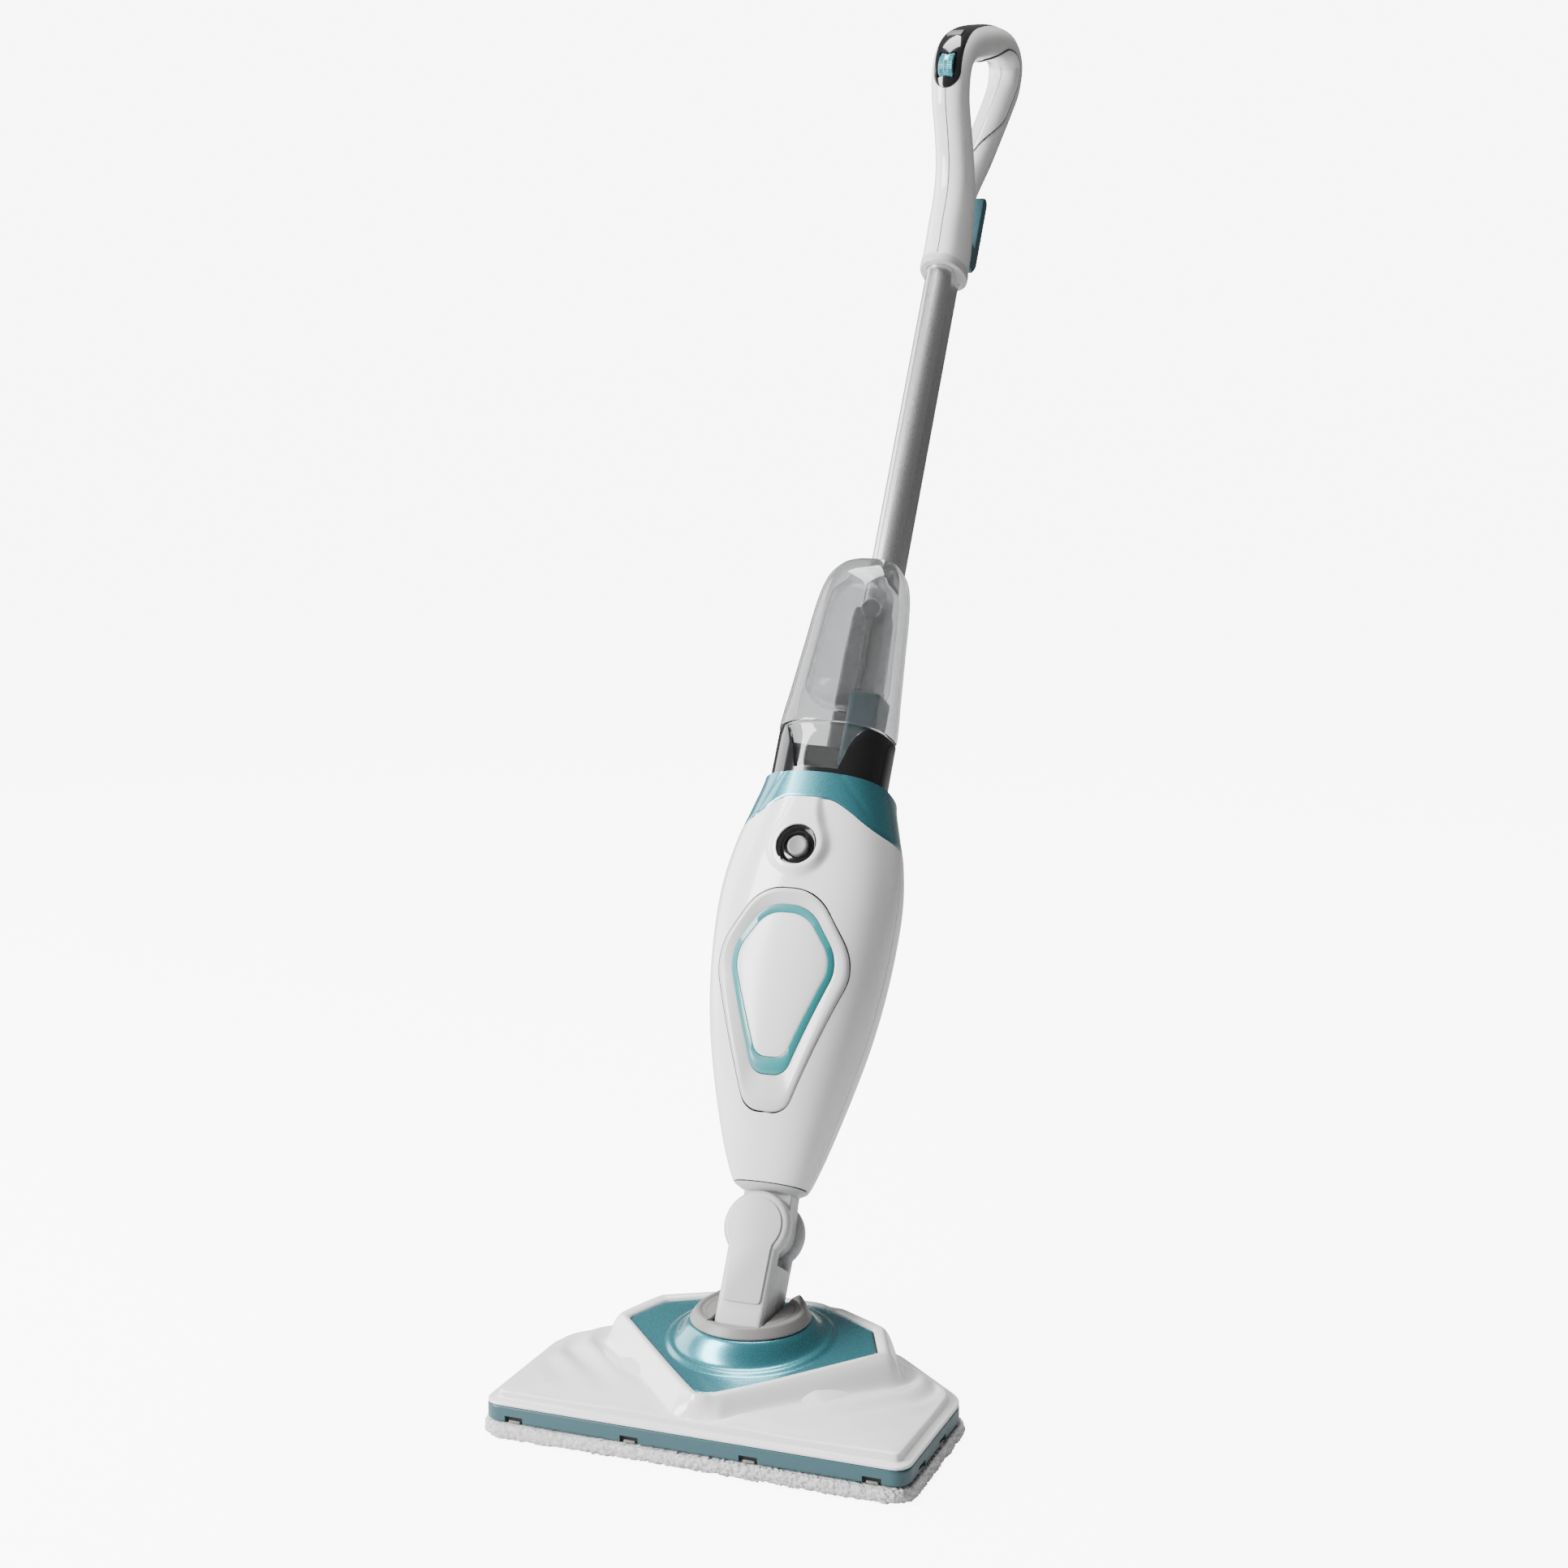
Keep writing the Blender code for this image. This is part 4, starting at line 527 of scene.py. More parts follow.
LOOKS = {
    "white_gloss": plastic("gloss white moulding", WHITE, 0.16, Coat_Weight=0.45, Coat_Roughness=0.08,
                           Subsurface_Weight=0.04, Subsurface_Scale=0.002),
    "pale_grey": plastic("pale grey moulding", PALE, 0.30, grain=0.4, Coat_Weight=0.15, Coat_Roughness=0.2),
    "grey_plastic": plastic("warm grey moulding", GREY, 0.40, grain=0.8, mottle=0.08),
    "teal_plastic": plastic("deep teal moulding", TEAL, 0.34, grain=0.7, mottle=0.07, Coat_Weight=0.1),
    "black_gloss": plastic("gloss black moulding", BLACK, 0.10, grain=0.1, Coat_Weight=0.6,
                           Coat_Roughness=0.05),
    "black_rubber": plastic("black rubber", (0.018, 0.018, 0.018), 0.62, grain=1.0, scale=900.0, bump=0.3),
    "board_green": plastic("circuit board", (0.02, 0.12, 0.05), 0.35, scale=700.0),
    "pearl_teal": material(
        "pearl teal paint", FLAKES, {"Colour": (*PEARL, 1), "Flake": 0.14, "Roughness": 0.24},
        0.012, 0.0001, Metallic=0.72, Coat_Weight=0.7, Coat_Roughness=0.10),
    "aluminium": material(
        "satin aluminium", DRAWN, {"Colour": (0.84, 0.84, 0.85, 1), "Roughness": 0.22}, 0.02, 0.0001,
        Metallic=1.0),
    "steel": material(
        "plain steel", DRAWN, {"Colour": (0.56, 0.56, 0.57, 1), "Roughness": 0.25, "Line Scale": 1400.0},
        0.08, 0.0001, Metallic=1.0),
    "microfibre": material(
        "white microfibre", PILE, {"Colour": (0.86, 0.86, 0.85, 1), "Shadow": (0.50, 0.50, 0.50, 1)},
        0.5, 0.0006, Roughness=0.95, Sheen_Weight=0.5, Sheen_Roughness=0.5),
    "smoked_clear": plastic(
        "smoky clear shell", (0.52, 0.525, 0.53), 0.0, grain=0.05, mottle=0.03, bump=0.02, spread=0.0,
        Transmission_Weight=1.0, IOR=1.45),
}
INLAY = plastic("smooth grey moulding", (0.47, 0.475, 0.48), 0.32, grain=0.3)
FRAME_GREY = plastic("satin frame moulding", (0.60, 0.60, 0.605), 0.26, grain=0.2, Coat_Weight=0.3,
                     Coat_Roughness=0.12)
WINDOW = plastic("smoky lamp window", (0.075, 0.075, 0.078), 0.48, grain=0.1)
PLATE_WHITE = plastic("satin badge plate", (0.74, 0.745, 0.75), 0.27, grain=0.3, Coat_Weight=0.25,
                      Coat_Roughness=0.15)
RING_TEAL = plastic("bright teal trim", (0.022, 0.225, 0.240), 0.28, grain=0.2, Coat_Weight=0.4)
CHAMBER_SMOKE = plastic("smoky chamber wall", (0.92, 0.925, 0.93), 0.0, grain=0.05, bump=0.02, spread=0.0,
                        Transmission_Weight=1.0, IOR=1.45)


def paint_edge_shade(look, painted_shade, strength):
    """Thick clear plastic looks dark where it is seen edge on; this paints that shade into the base colour.
    """
    tree = look.node_tree
    shader = tree.nodes["Principled BSDF"]
    colour = shader.inputs["Base Color"].links[0].from_socket
    facing = node(tree, "ShaderNodeLayerWeight", Blend=0.5).outputs["Facing"]
    blend = node(tree, "ShaderNodeMix", [("Factor", maths(tree, "POWER", facing, strength))],
                 data_type="RGBA")
    tree.links.new(colour, blend.inputs[6])
    blend.inputs[7].default_value = (*painted_shade, 1)
    tree.links.new(blend.outputs[2], shader.inputs["Base Color"])


# painted shade: dark edges on the tank's clear shell and on its chamber wall
paint_edge_shade(LOOKS["smoked_clear"], (0.010, 0.010, 0.010), 1.6)
paint_edge_shade(CHAMBER_SMOKE, (0.04, 0.04, 0.04), 2.2)

for part in frame["record"]["subparts"]:
    surface = frame["nodes"][part["node"]].data
    surface.materials.clear()
    surface.materials.append(LOOKS[part["material_slot"]])


# ---- head ---------------------------------------------------------------------------------------
HEAD_CENTRE = (0.0, RING_Y)


def head_outline(inset, radius=0.012):
    half, rear_half = HEAD_HALF - inset, HEAD_REAR_HALF - inset * 0.45
    front, rear = HEAD_FRONT + inset, HEAD_REAR - inset
    side = HEAD_SIDE_Y - inset * 0.4
    corners = (
        (-half, front), (half, front), (half, side), (rear_half, rear), (-rear_half, rear), (-half, side),
    )
    front_r = max(radius - inset, 0.003)
    return rounded(corners, (front_r, front_r, 0.028, 0.030, 0.030, 0.028))


def panel_outline(o):
    corners = (
        (0.0, -0.0705 - 1.5 * o), (0.0955 + 1.15 * o, 0.0225), (0.0800 + o, 0.0560 + 0.6 * o),
        (0.0300, 0.0860 + o), (-0.0300, 0.0860 + o), (-0.0800 - o, 0.0560 + 0.6 * o),
        (-0.0955 - 1.15 * o, 0.0225),
    )
    return rounded(corners, (0.010, 0.006, 0.008, 0.020, 0.020, 0.008, 0.006))


def panel_height(y):
    return PANEL_TIP_Z + (PANEL_REAR_Z - PANEL_TIP_Z) * smooth(-0.075, 0.070, y)


def head_point(r, angle):
    return r * math.cos(angle), RING_Y + r * math.sin(angle)


FAN = sorted(
    [math.tau * k / 300 - math.pi for k in range(300)]
    + [math.atan2(p.y - RING_Y, p.x) + 0.0007 for p in head_outline(0.003) + panel_outline(0.003)]
)


def fan(outline):
    return [reach(outline, HEAD_CENTRE, a) for a in FAN]


def ring_of(radii, height):
    """Points round the head at the given distances; height(x, y, k) gives z."""
    row = []
    for k, (r, a) in enumerate(zip(radii, FAN)):
        x, y = head_point(r, a)
        row.append(Vector((x, y, height(x, y, k))))
    return row


def neck_room():
    """What the neck sweeps as it lies back."""
    axis = place(0, 0, TILT_T)
    turn = Matrix.Translation(axis) @ Matrix.Rotation(-LEAN - REACH_BACK - math.radians(1.5), 4, "X")
    side, ear = NECK_HALF + 0.0018, EAR_R + 0.0015
    return [box((-side, -0.050, 0.0), (side, 0.0222, 0.160), turn),
            box((-ear, -0.050, 0.044), (ear, 0.0228, 0.170), turn)]


def make_pad():
    """Thick looped pad: rounded edge covered in uneven tufts, wavy where it lies past the sole."""
    noise.seed_set(7)  # else the curl of the tufts differs at every run
    outline = evenly(head_outline(-PAD_PROUD, 0.014), 1300)
    middle = Vector((0.0, 0.0))
    profile = [(0.030, 0.0010), (0.016, 0.0005), (0.006, 0.0003), (0.0030, 0.0004)]
    profile += [
        (0.0040 - 0.0040 * math.cos(a), 0.0058 - 0.0054 * math.sin(a))
        for a in [math.pi / 2 - math.pi * k / 19 for k in range(1, 19)]
    ]
    profile += [(0.0030, 0.0112), (0.0060, 0.0113), (0.010, 0.0112), (0.030, 0.0110)]
    rows = []
    for inset, z in profile:
        row = []
        for p in outline:
            inward = (middle - p).normalized()
            q = p + inward * inset
            spot = Vector((q.x, q.y, z))
            slow = noise.noise(spot * 60) * 0.0006
            curl = Vector((spot.x + 0.6 * spot.z, spot.y + 0.6 * spot.z, spot.z * 1.3)) * 300
            curl += noise.noise_vector(spot * 500) * 0.35
            loop = 0.55 - noise.voronoi(curl)[0][0] + 0.25 * noise.noise(spot * 1100)
            outward = Vector((-inward.x, -inward.y, (z - 0.0058) / 0.0060)).normalized()
            shown = 1.0 - smooth(0.010, 0.020, inset)
            spot += outward * ((loop * 0.0024 + slow - 0.0008) * shown)
            spot.z = min(max(spot.z, 0.0002), PAD_TOP)
            row.append(spot)
        rows.append(row)
    bm = solid(rows)
    pad = piece("microfibre_pad", bm, "head", "microfibre", "mop_pad", sharp=180)


NOTCHES = [(0, x) for x in NOTCH_X] + [(side, y) for side in (1, -1) for y in NOTCH_Y]


def in_notch(notch, half, depth, height):
    """Corners of a box in a notch: its half width, its depths from the wall's face, its heights."""
    side, middle = notch
    across = (middle - half, middle + half)
    if side:
        xs, ys = sorted(side * (HEAD_HALF - d) for d in depth), across
    else:
        xs, ys = across, sorted(HEAD_FRONT + d for d in depth)
    return (xs[0], ys[0], height[0]), (xs[1], ys[1], height[1])


def make_bumper():
    """Teal wall with a rounded lower edge, a bead along the top and a notch for each clip."""
    profile = (
        (0.0016, BAND_LOW), (0.0007, BAND_LOW + 0.0003), (0.0002, BAND_LOW + 0.0010),
        (0.0, BAND_LOW + 0.0022), (0.0, BAND_TOP - 0.0016), (0.0001, BAND_TOP - 0.0008),
        (0.0005, BAND_TOP - 0.0002), (0.0010, BAND_TOP), (0.0027, BAND_TOP), (0.0027, BAND_LOW),
    )
    rows = [[Vector((p.x, p.y, z)) for p in evenly(head_outline(i), 420)] for i, z in profile]
    notches = [box(*in_notch(notch, NOTCH_HALF, (-0.004, 0.006), (0.0, NOTCH_TOP))) for notch in NOTCHES]
    bm = carved(rows_grid(rows), *notches)
    piece("bumper", bm, "head", "teal_plastic", "bumper_band")


def make_clips():
    """The pad's grey clips, low in their notches, over a black sheet that paints the shade at the back of
    each notch.
    """
    shade_sheet = bmesh.new()
    for number, notch in enumerate(NOTCHES, 1):
        corners = in_notch(notch, CLIP_HALF, (0.0007, 0.0024), (BAND_LOW + 0.0001, BAND_LOW + 0.0017))
        clip = box(*corners, bevel=0.0003)
        piece(f"clip_{number}", clip, "head", "grey_plastic", f"pad_clip_{number}")
        # painted shade: a thin black sheet at the back of each notch
        add_box(shade_sheet, *in_notch(notch, NOTCH_HALF, (0.00275, 0.00295), (BAND_LOW, NOTCH_TOP)))
    piece("notch_shade_sheet", shade_sheet, "head", "black_rubber")


def add_box(bm, low, high):
    """Adds a plain box to a mesh."""
    low, high = Vector(low), Vector(high)
    made = bmesh.ops.create_cube(bm, size=1.0)["verts"]
    bmesh.ops.scale(bm, vec=high - low, verts=made)
    bmesh.ops.translate(bm, vec=(low + high) / 2, verts=made)


def crest_height(y):
    return panel_height(y) + 0.0022


def make_cover():
    """Rim, step, rippled slope and the rounded ridge that frames the panel."""
    step = fan(head_outline(STEP_INSET + 0.0018))
    crest = [min(a, b - 0.0012) for a, b in zip(fan(panel_outline(CREST)), step)]
    width = [a - b for a, b in zip(step, crest)]
    rows = []

    def level(inset, z, wave=0.0):
        ripple = [wave * math.sin(RIPPLES * a + 0.8) for a in FAN]
        rows.append(ring_of(fan(head_outline(inset)), lambda x, y, k: z + ripple[k]))

    for inset, z in (
        (0.0006, BAND_TOP + 0.0004), (0.0002, BAND_TOP + 0.0008), (0.0002, FLANGE_TOP - 0.0010),
        (0.0006, FLANGE_TOP - 0.0003), (0.0014, FLANGE_TOP), (0.0060, FLANGE_TOP + 0.0001),
        (0.0068, FLANGE_TOP + 0.0005), (0.0073, FLANGE_TOP + 0.0014),
    ):
        level(inset, z)
    for inset, drop in ((0.0077, 0.0022), (0.0079, 0.0010), (0.0085, 0.0003), (0.0094, 0.0)):
        level(inset, STEP_TOP - drop, 0.0005)

    crest_line = [(p.x, p.y) for p in panel_outline(CREST)]
    crest_runs = [(ax, ay, bx - ax, by - ay, (bx - ax) ** 2 + (by - ay) ** 2)
                  for (ax, ay), (bx, by) in zip(crest_line, crest_line[1:] + crest_line[:1])]

    def crest_gap(x, y):
        """Distance to the nearest point of the crest."""
        best = 1.0
        for ax, ay, dx, dy, square in crest_runs:
            u = min(1.0, max(0.0, ((x - ax) * dx + (y - ay) * dy) / square)) if square else 0.0
            best = min(best, (ax + u * dx - x) ** 2 + (ay + u * dy - y) ** 2)
        return math.sqrt(best)

    def slope_height(share):
        """Height from the step (share 0) to the ridge's crest (share 1), with dunes beside the ridge."""
        def at(x, y, k):
            gap = crest_gap(x, y) if share < 1 else 0.0
            rise = 1.0 - smooth(-0.0020, max(0.0030, min(0.0120, 0.80 * width[k])), gap)
            top = crest_height(y)
            foot = mix(0.0, 0.30 * (top - STEP_TOP), share)
            beside = smooth(0.020, 0.115, abs(x)) * smooth(0.0, 0.22, share) * smooth(0.0, 0.010, gap)
            fade = math.exp(-gap / 0.060) * smooth(-0.095, 0.030, y)
            dune = -DUNE_HEIGHT * math.cos(math.tau * (gap - 0.0125) / DUNE_PITCH) * beside * fade
            edge = 0.0006 * math.sin(RIPPLES * FAN[k] + 0.8) * (1 - smooth(0.0, 0.35, share))
            return STEP_TOP + foot + (top - STEP_TOP - foot) * rise + dune + edge
        return at

    for share in [k / 40 for k in range(1, 41)]:
        rows.append(ring_of([mix(a, b, share) for a, b in zip(step, crest)], slope_height(share)))
    inner = fan(panel_outline(0.0008))
    for share, drop in ((0.80, -0.0002), (0.58, -0.0002), (0.40, 0.0001), (0.26, 0.0005), (0.14, 0.0011),
                        (0.05, 0.0018), (0.0, 0.0026), (0.0, 0.0052), (0.45, 0.0052)):
        radii = [mix(a, max(b, a + 0.0004), share) for a, b in zip(inner, crest)]
        rows.append(ring_of(radii, lambda x, y, k, d=drop: crest_height(y) - d))
    for share, drop in ((0.75, 0.0042), (0.5, 0.0042), (0.25, 0.0042), (0.0, 0.0032)):
        radii = [mix(a, b, share) - 0.0008 for a, b in zip(step, crest)]
        above = slope_height(share)
        rows.append(ring_of(
            radii, lambda x, y, k, f=above, d=drop: min(f(x, y, k) - d, crest_height(y) - 0.006)
        ))
    for inset, z in (
        (0.0095, FLANGE_TOP - 0.0012), (0.0036, FLANGE_TOP - 0.0016), (0.0032, BAND_TOP + 0.0004),
    ):
        level(inset, z)
    bm = carved(rows_grid(rows), *neck_room())
    piece("top_moulding", bm, "head", "white_gloss", "head_cover", sharp=40)


def boss_height(x, y):
    """Panel with a stepped round boss that sweeps up to the ring."""
    r = math.hypot(x, y - RING_Y)
    base = panel_height(y)
    step = 0.0024 * smooth(0.0625, 0.0570, r)
    dome = (RING_LOW_Z - base - 0.0024) * smooth(0.0575, RING_LOW_R - 0.001, r) ** 1.25
    return base + step + dome


def make_panel():
    edge = fan(panel_outline(-0.0003))
    flat_edge = fan(panel_outline(-0.0018))
    rows = [ring_of(edge, lambda x, y, k: panel_height(y) - 0.0030),
            ring_of(edge, lambda x, y, k: panel_height(y) - 0.0008),
            ring_of(fan(panel_outline(-0.0007)), lambda x, y, k: panel_height(y) - 0.0001)]
    inner = 0.0405
    for k in range(40):
        u = k / 39
        radii = [mix(r, inner, u) for r in flat_edge]
        rows.append(ring_of(radii, lambda x, y, k: boss_height(x, y)))
    rows.append(ring_of([inner] * len(FAN), lambda x, y, k: RING_LOW_Z - 0.0028))
    rows.append(ring_of([0.058] * len(FAN), lambda x, y, k: panel_height(y) - 0.0024))
    bm = carved(rows_grid(rows), *neck_room())
    seam = [ring_of(fan(panel_outline(o)), lambda x, y, k, d=d: panel_height(y) - d)
            for o, d in ((-0.0012, 0.0010), (0.0012, 0.0010), (0.0012, 0.0016), (-0.0012, 0.0016))]
    piece("panel_seam", carved(rows_grid(seam), *neck_room()), "head", "black_rubber")
    piece("pearl_panel", bm, "head", "pearl_teal", "head_panel", sharp=50)


def make_ring():
    """Swivel ring: sloped wall, thin raised rim, sunk disc with a slot, and a hump each side behind."""
    top = RING_TOP_Z
    profile = (
        (0.0, top - 0.0040), (0.0330, top - 0.0040), (0.0345, RING_LOW_Z + 0.0003),
        (RING_LOW_R - 0.0010, RING_LOW_Z + 0.0003), (RING_LOW_R - 0.0002, RING_LOW_Z + 0.0007),
        (RING_LOW_R, RING_LOW_Z + 0.0016), (0.0425, RING_LOW_Z + 0.0034), (0.0405, top - 0.0022),
        (0.0396, top - 0.0009), (0.0387, top - 0.0002), (0.0378, top), (0.0366, top),
        (0.0360, top - 0.0002), (0.0356, top - 0.0008), (0.0352, top - 0.0011), (0.0318, top - 0.0011),
        (0.0315, top - 0.0015), (0.0312, top - 0.0011), (0.0, top - 0.0011),
    )
    bm = turned(profile, 128, Matrix.Translation((0, RING_Y, 0)))
    for vert in bm.verts:
        x, y = vert.co.x, vert.co.y - RING_Y
        r = math.hypot(x, y)
        if r > 0.034 and y > 0 and vert.co.z > RING_LOW_Z + 0.003:
            hump = math.exp(-((abs(x) - 0.0275) / 0.0060) ** 2) * smooth(0.034, 0.038, r)
            vert.co.z += 0.0036 * hump
    half = NECK_HALF + 0.0018
    slot = box((-half, -0.0115, 0.040), (half, 0.100, 0.100))
    bm = carved(bm, slot, *neck_room())
    piece("swivel_collar", bm, "head", "grey_plastic", "swivel_ring", sharp=28)


# ---- neck ---------------------------------------------------------------------------------------
def ear_outline(radius, half, low, steps=40):
    start = math.asin(half / radius)
    turn = math.tau - 2 * start
    lobe = [
        (radius * math.sin(start + turn * k / steps), ROLL_T - radius * math.cos(start + turn * k / steps))
        for k in range(steps + 1)
    ]
    return [(half * 0.97, low)] + lobe + [(-half * 0.97, low)]


def softened(outline, count, rounds=6):
    """An outline resampled and eased, so that its corners flow."""
    ring = evenly([Vector(p) for p in outline], count)
    for _ in range(rounds):
        ring = [(ring[i - 1] + 2 * ring[i] + ring[(i + 1) % count]) / 4 for i in range(count)]
    return ring


def stem_shape(side):
    stations = (
        (0.0115, 0.0150, 0.0070), (0.0140, 0.0180, 0.0110), (0.0220, NECK_HALF, 0.0150),
        (0.0330, NECK_HALF, 0.0190), (0.0460, NECK_HALF, 0.0210), (SLOT_T, 0.0200, 0.0210),
    )
    edge = NECK_FRONT / 0.0210 if side > 0 else 1.0
    rows = []
    for k in range(25):
        t = mix(stations[0][0], stations[-1][0], k / 24)
        half, deep = along(stations, t)
        arc = []
        for j in range(33):
            a = math.pi * j / 32
            n = 0.00015 + (deep * edge - 0.00015) * abs(math.sin(a)) ** 0.42
            arc.append(place(half * power(math.cos(a), 0.42), side * n, t))
        rows.append(arc)
    return solid(rows)


def make_fork(name, side, node_name):
    """One cheek of the fork with a broad rounded ear."""
    near, far = sorted((side * EAR_IN, NECK_FRONT if side > 0 else NECK_REAR))
    outline = [Vector(p) for p in ear_outline(EAR_R, 0.0186, 0.0255)]
    ear = plate(outline, near, far, FACING, 0.0040, 6)
    low, high = (-0.010, NECK_FRONT - 0.002) if side > 0 else (NECK_REAR - 0.01, 0.010)
    bm = carved(stem_shape(side), ear, operation="UNION")
    bm = carved(
        bm,
        bar(place(-0.05, 0, TILT_T), place(0.05, 0, TILT_T), 0.0043),
        bar(place(0, low, ROLL_T), place(0, high, ROLL_T), 0.0053),
        bar(place(0, 0, 0.0285), place(0, 0, 0.0900), 0.0048),
    )
    piece(name, bm, "neck", "pale_grey", node_name, sharp=38)


def make_neck():
    make_fork("fork_front", 1, "neck_front")
    make_fork("fork_rear", -1, "neck_rear")
    outline = softened(ear_outline(0.0200, 0.0150, 0.0440), 120, 3)
    low = NECK_FRONT + 0.0003
    bm = plate(outline, low, low + 0.0011, FACING, 0.0005, 3)
    piece("keyhole_inlay", bm, "neck", "pale_grey", "neck_inlay", look=INLAY)
    drum = bar(place(-NECK_HALF, 0, TILT_T), place(NECK_HALF, 0, TILT_T), DRUM_R, 72)
    rims = [e for f in drum.faces if len(f.verts) > 4 for e in f.edges]
    bmesh.ops.bevel(drum, geom=rims, offset=0.0012, segments=3, affect="EDGES", profile=0.5, material=-1)
    piece("tilt_drum", drum, "neck", "grey_plastic")


# ---- casing -------------------------------------------------------------------------------------
SECTION_X, SECTION_N = 0.88, 0.84  # below 1, a section is fuller than an ellipse


def casing_at(t, angle, grow=0.0):
    half, widest, front, back = along(CASING, t)
    deep = (front - widest) if math.sin(angle) >= 0 else (widest - back)
    x = (half + grow) * power(math.cos(angle), SECTION_X)
    return x, widest + (deep + grow) * power(math.sin(angle), SECTION_N)


def front_n(x, t):
    """n of the casing's front surface at x and t."""
    half, widest, front, _ = along(CASING, t)
    side = min(0.999, abs(x) / half) ** (1 / SECTION_X)
    return widest + (front - widest) * (1 - side * side) ** (SECTION_N / 2)


def collar_edge(angle):
    if math.sin(angle) < 0:
        return COLLAR_LOW
    return COLLAR_PEAK - (COLLAR_PEAK - COLLAR_LOW) * smooth(0.22, 1.0, abs(math.cos(angle)))


def boss_rise(x, t):
    """The teardrop boss round the button, flat-topped and narrowing up to the collar."""
    round_part = math.hypot(x, t - BUTTON_T) - 0.0190
    taper = mix(0.0175, 0.0085, smooth(BUTTON_T, COLLAR_PEAK, t))
    neck_part = max(abs(x) - taper, BUTTON_T - t)
    blend = 0.0040
    h = min(1.0, max(0.0, 0.5 + 0.5 * (neck_part - round_part) / blend))
    edge = mix(neck_part, round_part, h) - blend * h * (1 - h)
    return 0.0052 * smooth(0.0046, -0.0006, edge) * (1 - 0.45 * smooth(0.390, COLLAR_PEAK, t))


def crease(x, t):
    """Soft fold down the left of the front."""
    left = math.exp(-((x + 0.047 - 0.10 * (t - 0.32)) / 0.006) ** 2) * smooth(0.34, 0.38, t)
    return -0.0007 * left


def shell_surface(angle, u, low, top, grow=0.0):
    t = mix(low, top(angle), u)
    x, n = casing_at(t, angle, grow)
    if math.sin(angle) > 0:
        n += (boss_rise(x, t) + crease(x, t)) * smooth(0.0, 0.3, math.sin(angle))
    return place(x, n, t)


def badge_outline(half, low, high):
    tall = high - low
    corners = (
        (-half * 0.30, low), (half * 0.30, low), (half * 1.07, low + tall * 0.69), (half * 0.42, high),
        (-half * 0.42, high), (-half * 1.07, low + tall * 0.69),
    )
    return rounded(corners, [half * r for r in (0.30, 0.30, 0.75, 0.65, 0.65, 0.75)], 12)


def make_shells():
    def half_shell(first):
        def surface_at(u, v):
            angle = first + mix(0.004, math.pi - 0.004, u)
            return shell_surface(angle, v, SPLIT_LOW, lambda a: collar_edge(a) - SEAM)
        bm = bent_grid(surface_at, 130, 150)
        bmesh.ops.recalc_face_normals(bm, faces=bm.faces)
        centre = place(0, 0.025, 0.3)
        sample = bm.faces[:][len(bm.faces) // 2]
        if sample.normal.dot(sample.calc_center_median() - centre) < 0:
            bmesh.ops.reverse_faces(bm, faces=bm.faces)
        bmesh.ops.solidify(bm, geom=bm.faces[:], thickness=WALL)
        return bm

    opening = plate(badge_outline(0.0518, 0.1757, 0.3353), 0.030, 0.100, FACING)
    hole = bar(place(0, 0.05, BUTTON_T), place(0, 0.10, BUTTON_T), 0.0157, 72)
    front = carved(half_shell(0.0), opening, hole)
    piece("casing_front", front, "body", "white_gloss", "front_shell", sharp=42)
    inlet = bar(place(0, -0.010, 0.200), place(0, -0.040, 0.200), 0.0088, 40)
    rear = carved(half_shell(math.pi), inlet)
    piece("casing_rear", rear, "body", "white_gloss", "rear_shell", sharp=42)


def make_bottom_cap():
    def surface_at(u, v):
        angle = math.tau * u
        drop = mix(0.1262, SPLIT_LOW - 2 * SEAM, smooth(0.0, 1.0, v) ** 0.8)
        x, n = casing_at(max(drop, 0.1265), angle, -0.0045 * (1 - v) ** 2.2)
        return place(x, n, drop)
    bm = filled(bent_grid(surface_at, 96, 10))
    bm = carved(bm, box((-0.0188, -0.0093, 0.12), (0.0188, 0.0093, 0.14), POLE_FRAME))
    piece("end_cap", bm, "body", "pale_grey", "bottom_cap")


def make_collar():
    """Pearly collar with a rounded lower edge that overlaps the shells' seam line."""
    def surface_at(u, v):
        angle = math.tau * u
        low = collar_edge(angle) + SEAM
        t = mix(low, COLLAR_TOP, v)
        roll = -0.0006 * (1 - smooth(0.0, 0.06, v))
        x, n = casing_at(t, angle, roll)
        if math.sin(angle) > 0:
            fold = math.exp(-((x + 0.024 + 0.5 * (COLLAR_TOP - t)) / 0.0024) ** 2)
            fold += 0.8 * math.exp(-((x - 0.020 - 0.9 * (COLLAR_TOP - t)) / 0.0030) ** 2)
            n -= 0.0008 * fold
        return place(x, n, t)
    bm = bent_grid(surface_at, 180, 26)
    bmesh.ops.recalc_face_normals(bm, faces=bm.faces)
    bmesh.ops.solidify(bm, geom=bm.faces[:], thickness=WALL)
    piece("pearl_collar", bm, "body", "pearl_teal", "shoulder_collar", sharp=50)


BADGE_CENTRE = (0.0, 0.268)
BADGE_STEPS = 200


def badge_row(outline, proud):
    row = []
    for k in range(BADGE_STEPS):
        a = math.tau * k / BADGE_STEPS
        r = reach(outline, BADGE_CENTRE, a)
        x, t = BADGE_CENTRE[0] + r * math.cos(a), BADGE_CENTRE[1] + r * math.sin(a)
        row.append(place(x, front_n(x, t) + proud, t))
    return row


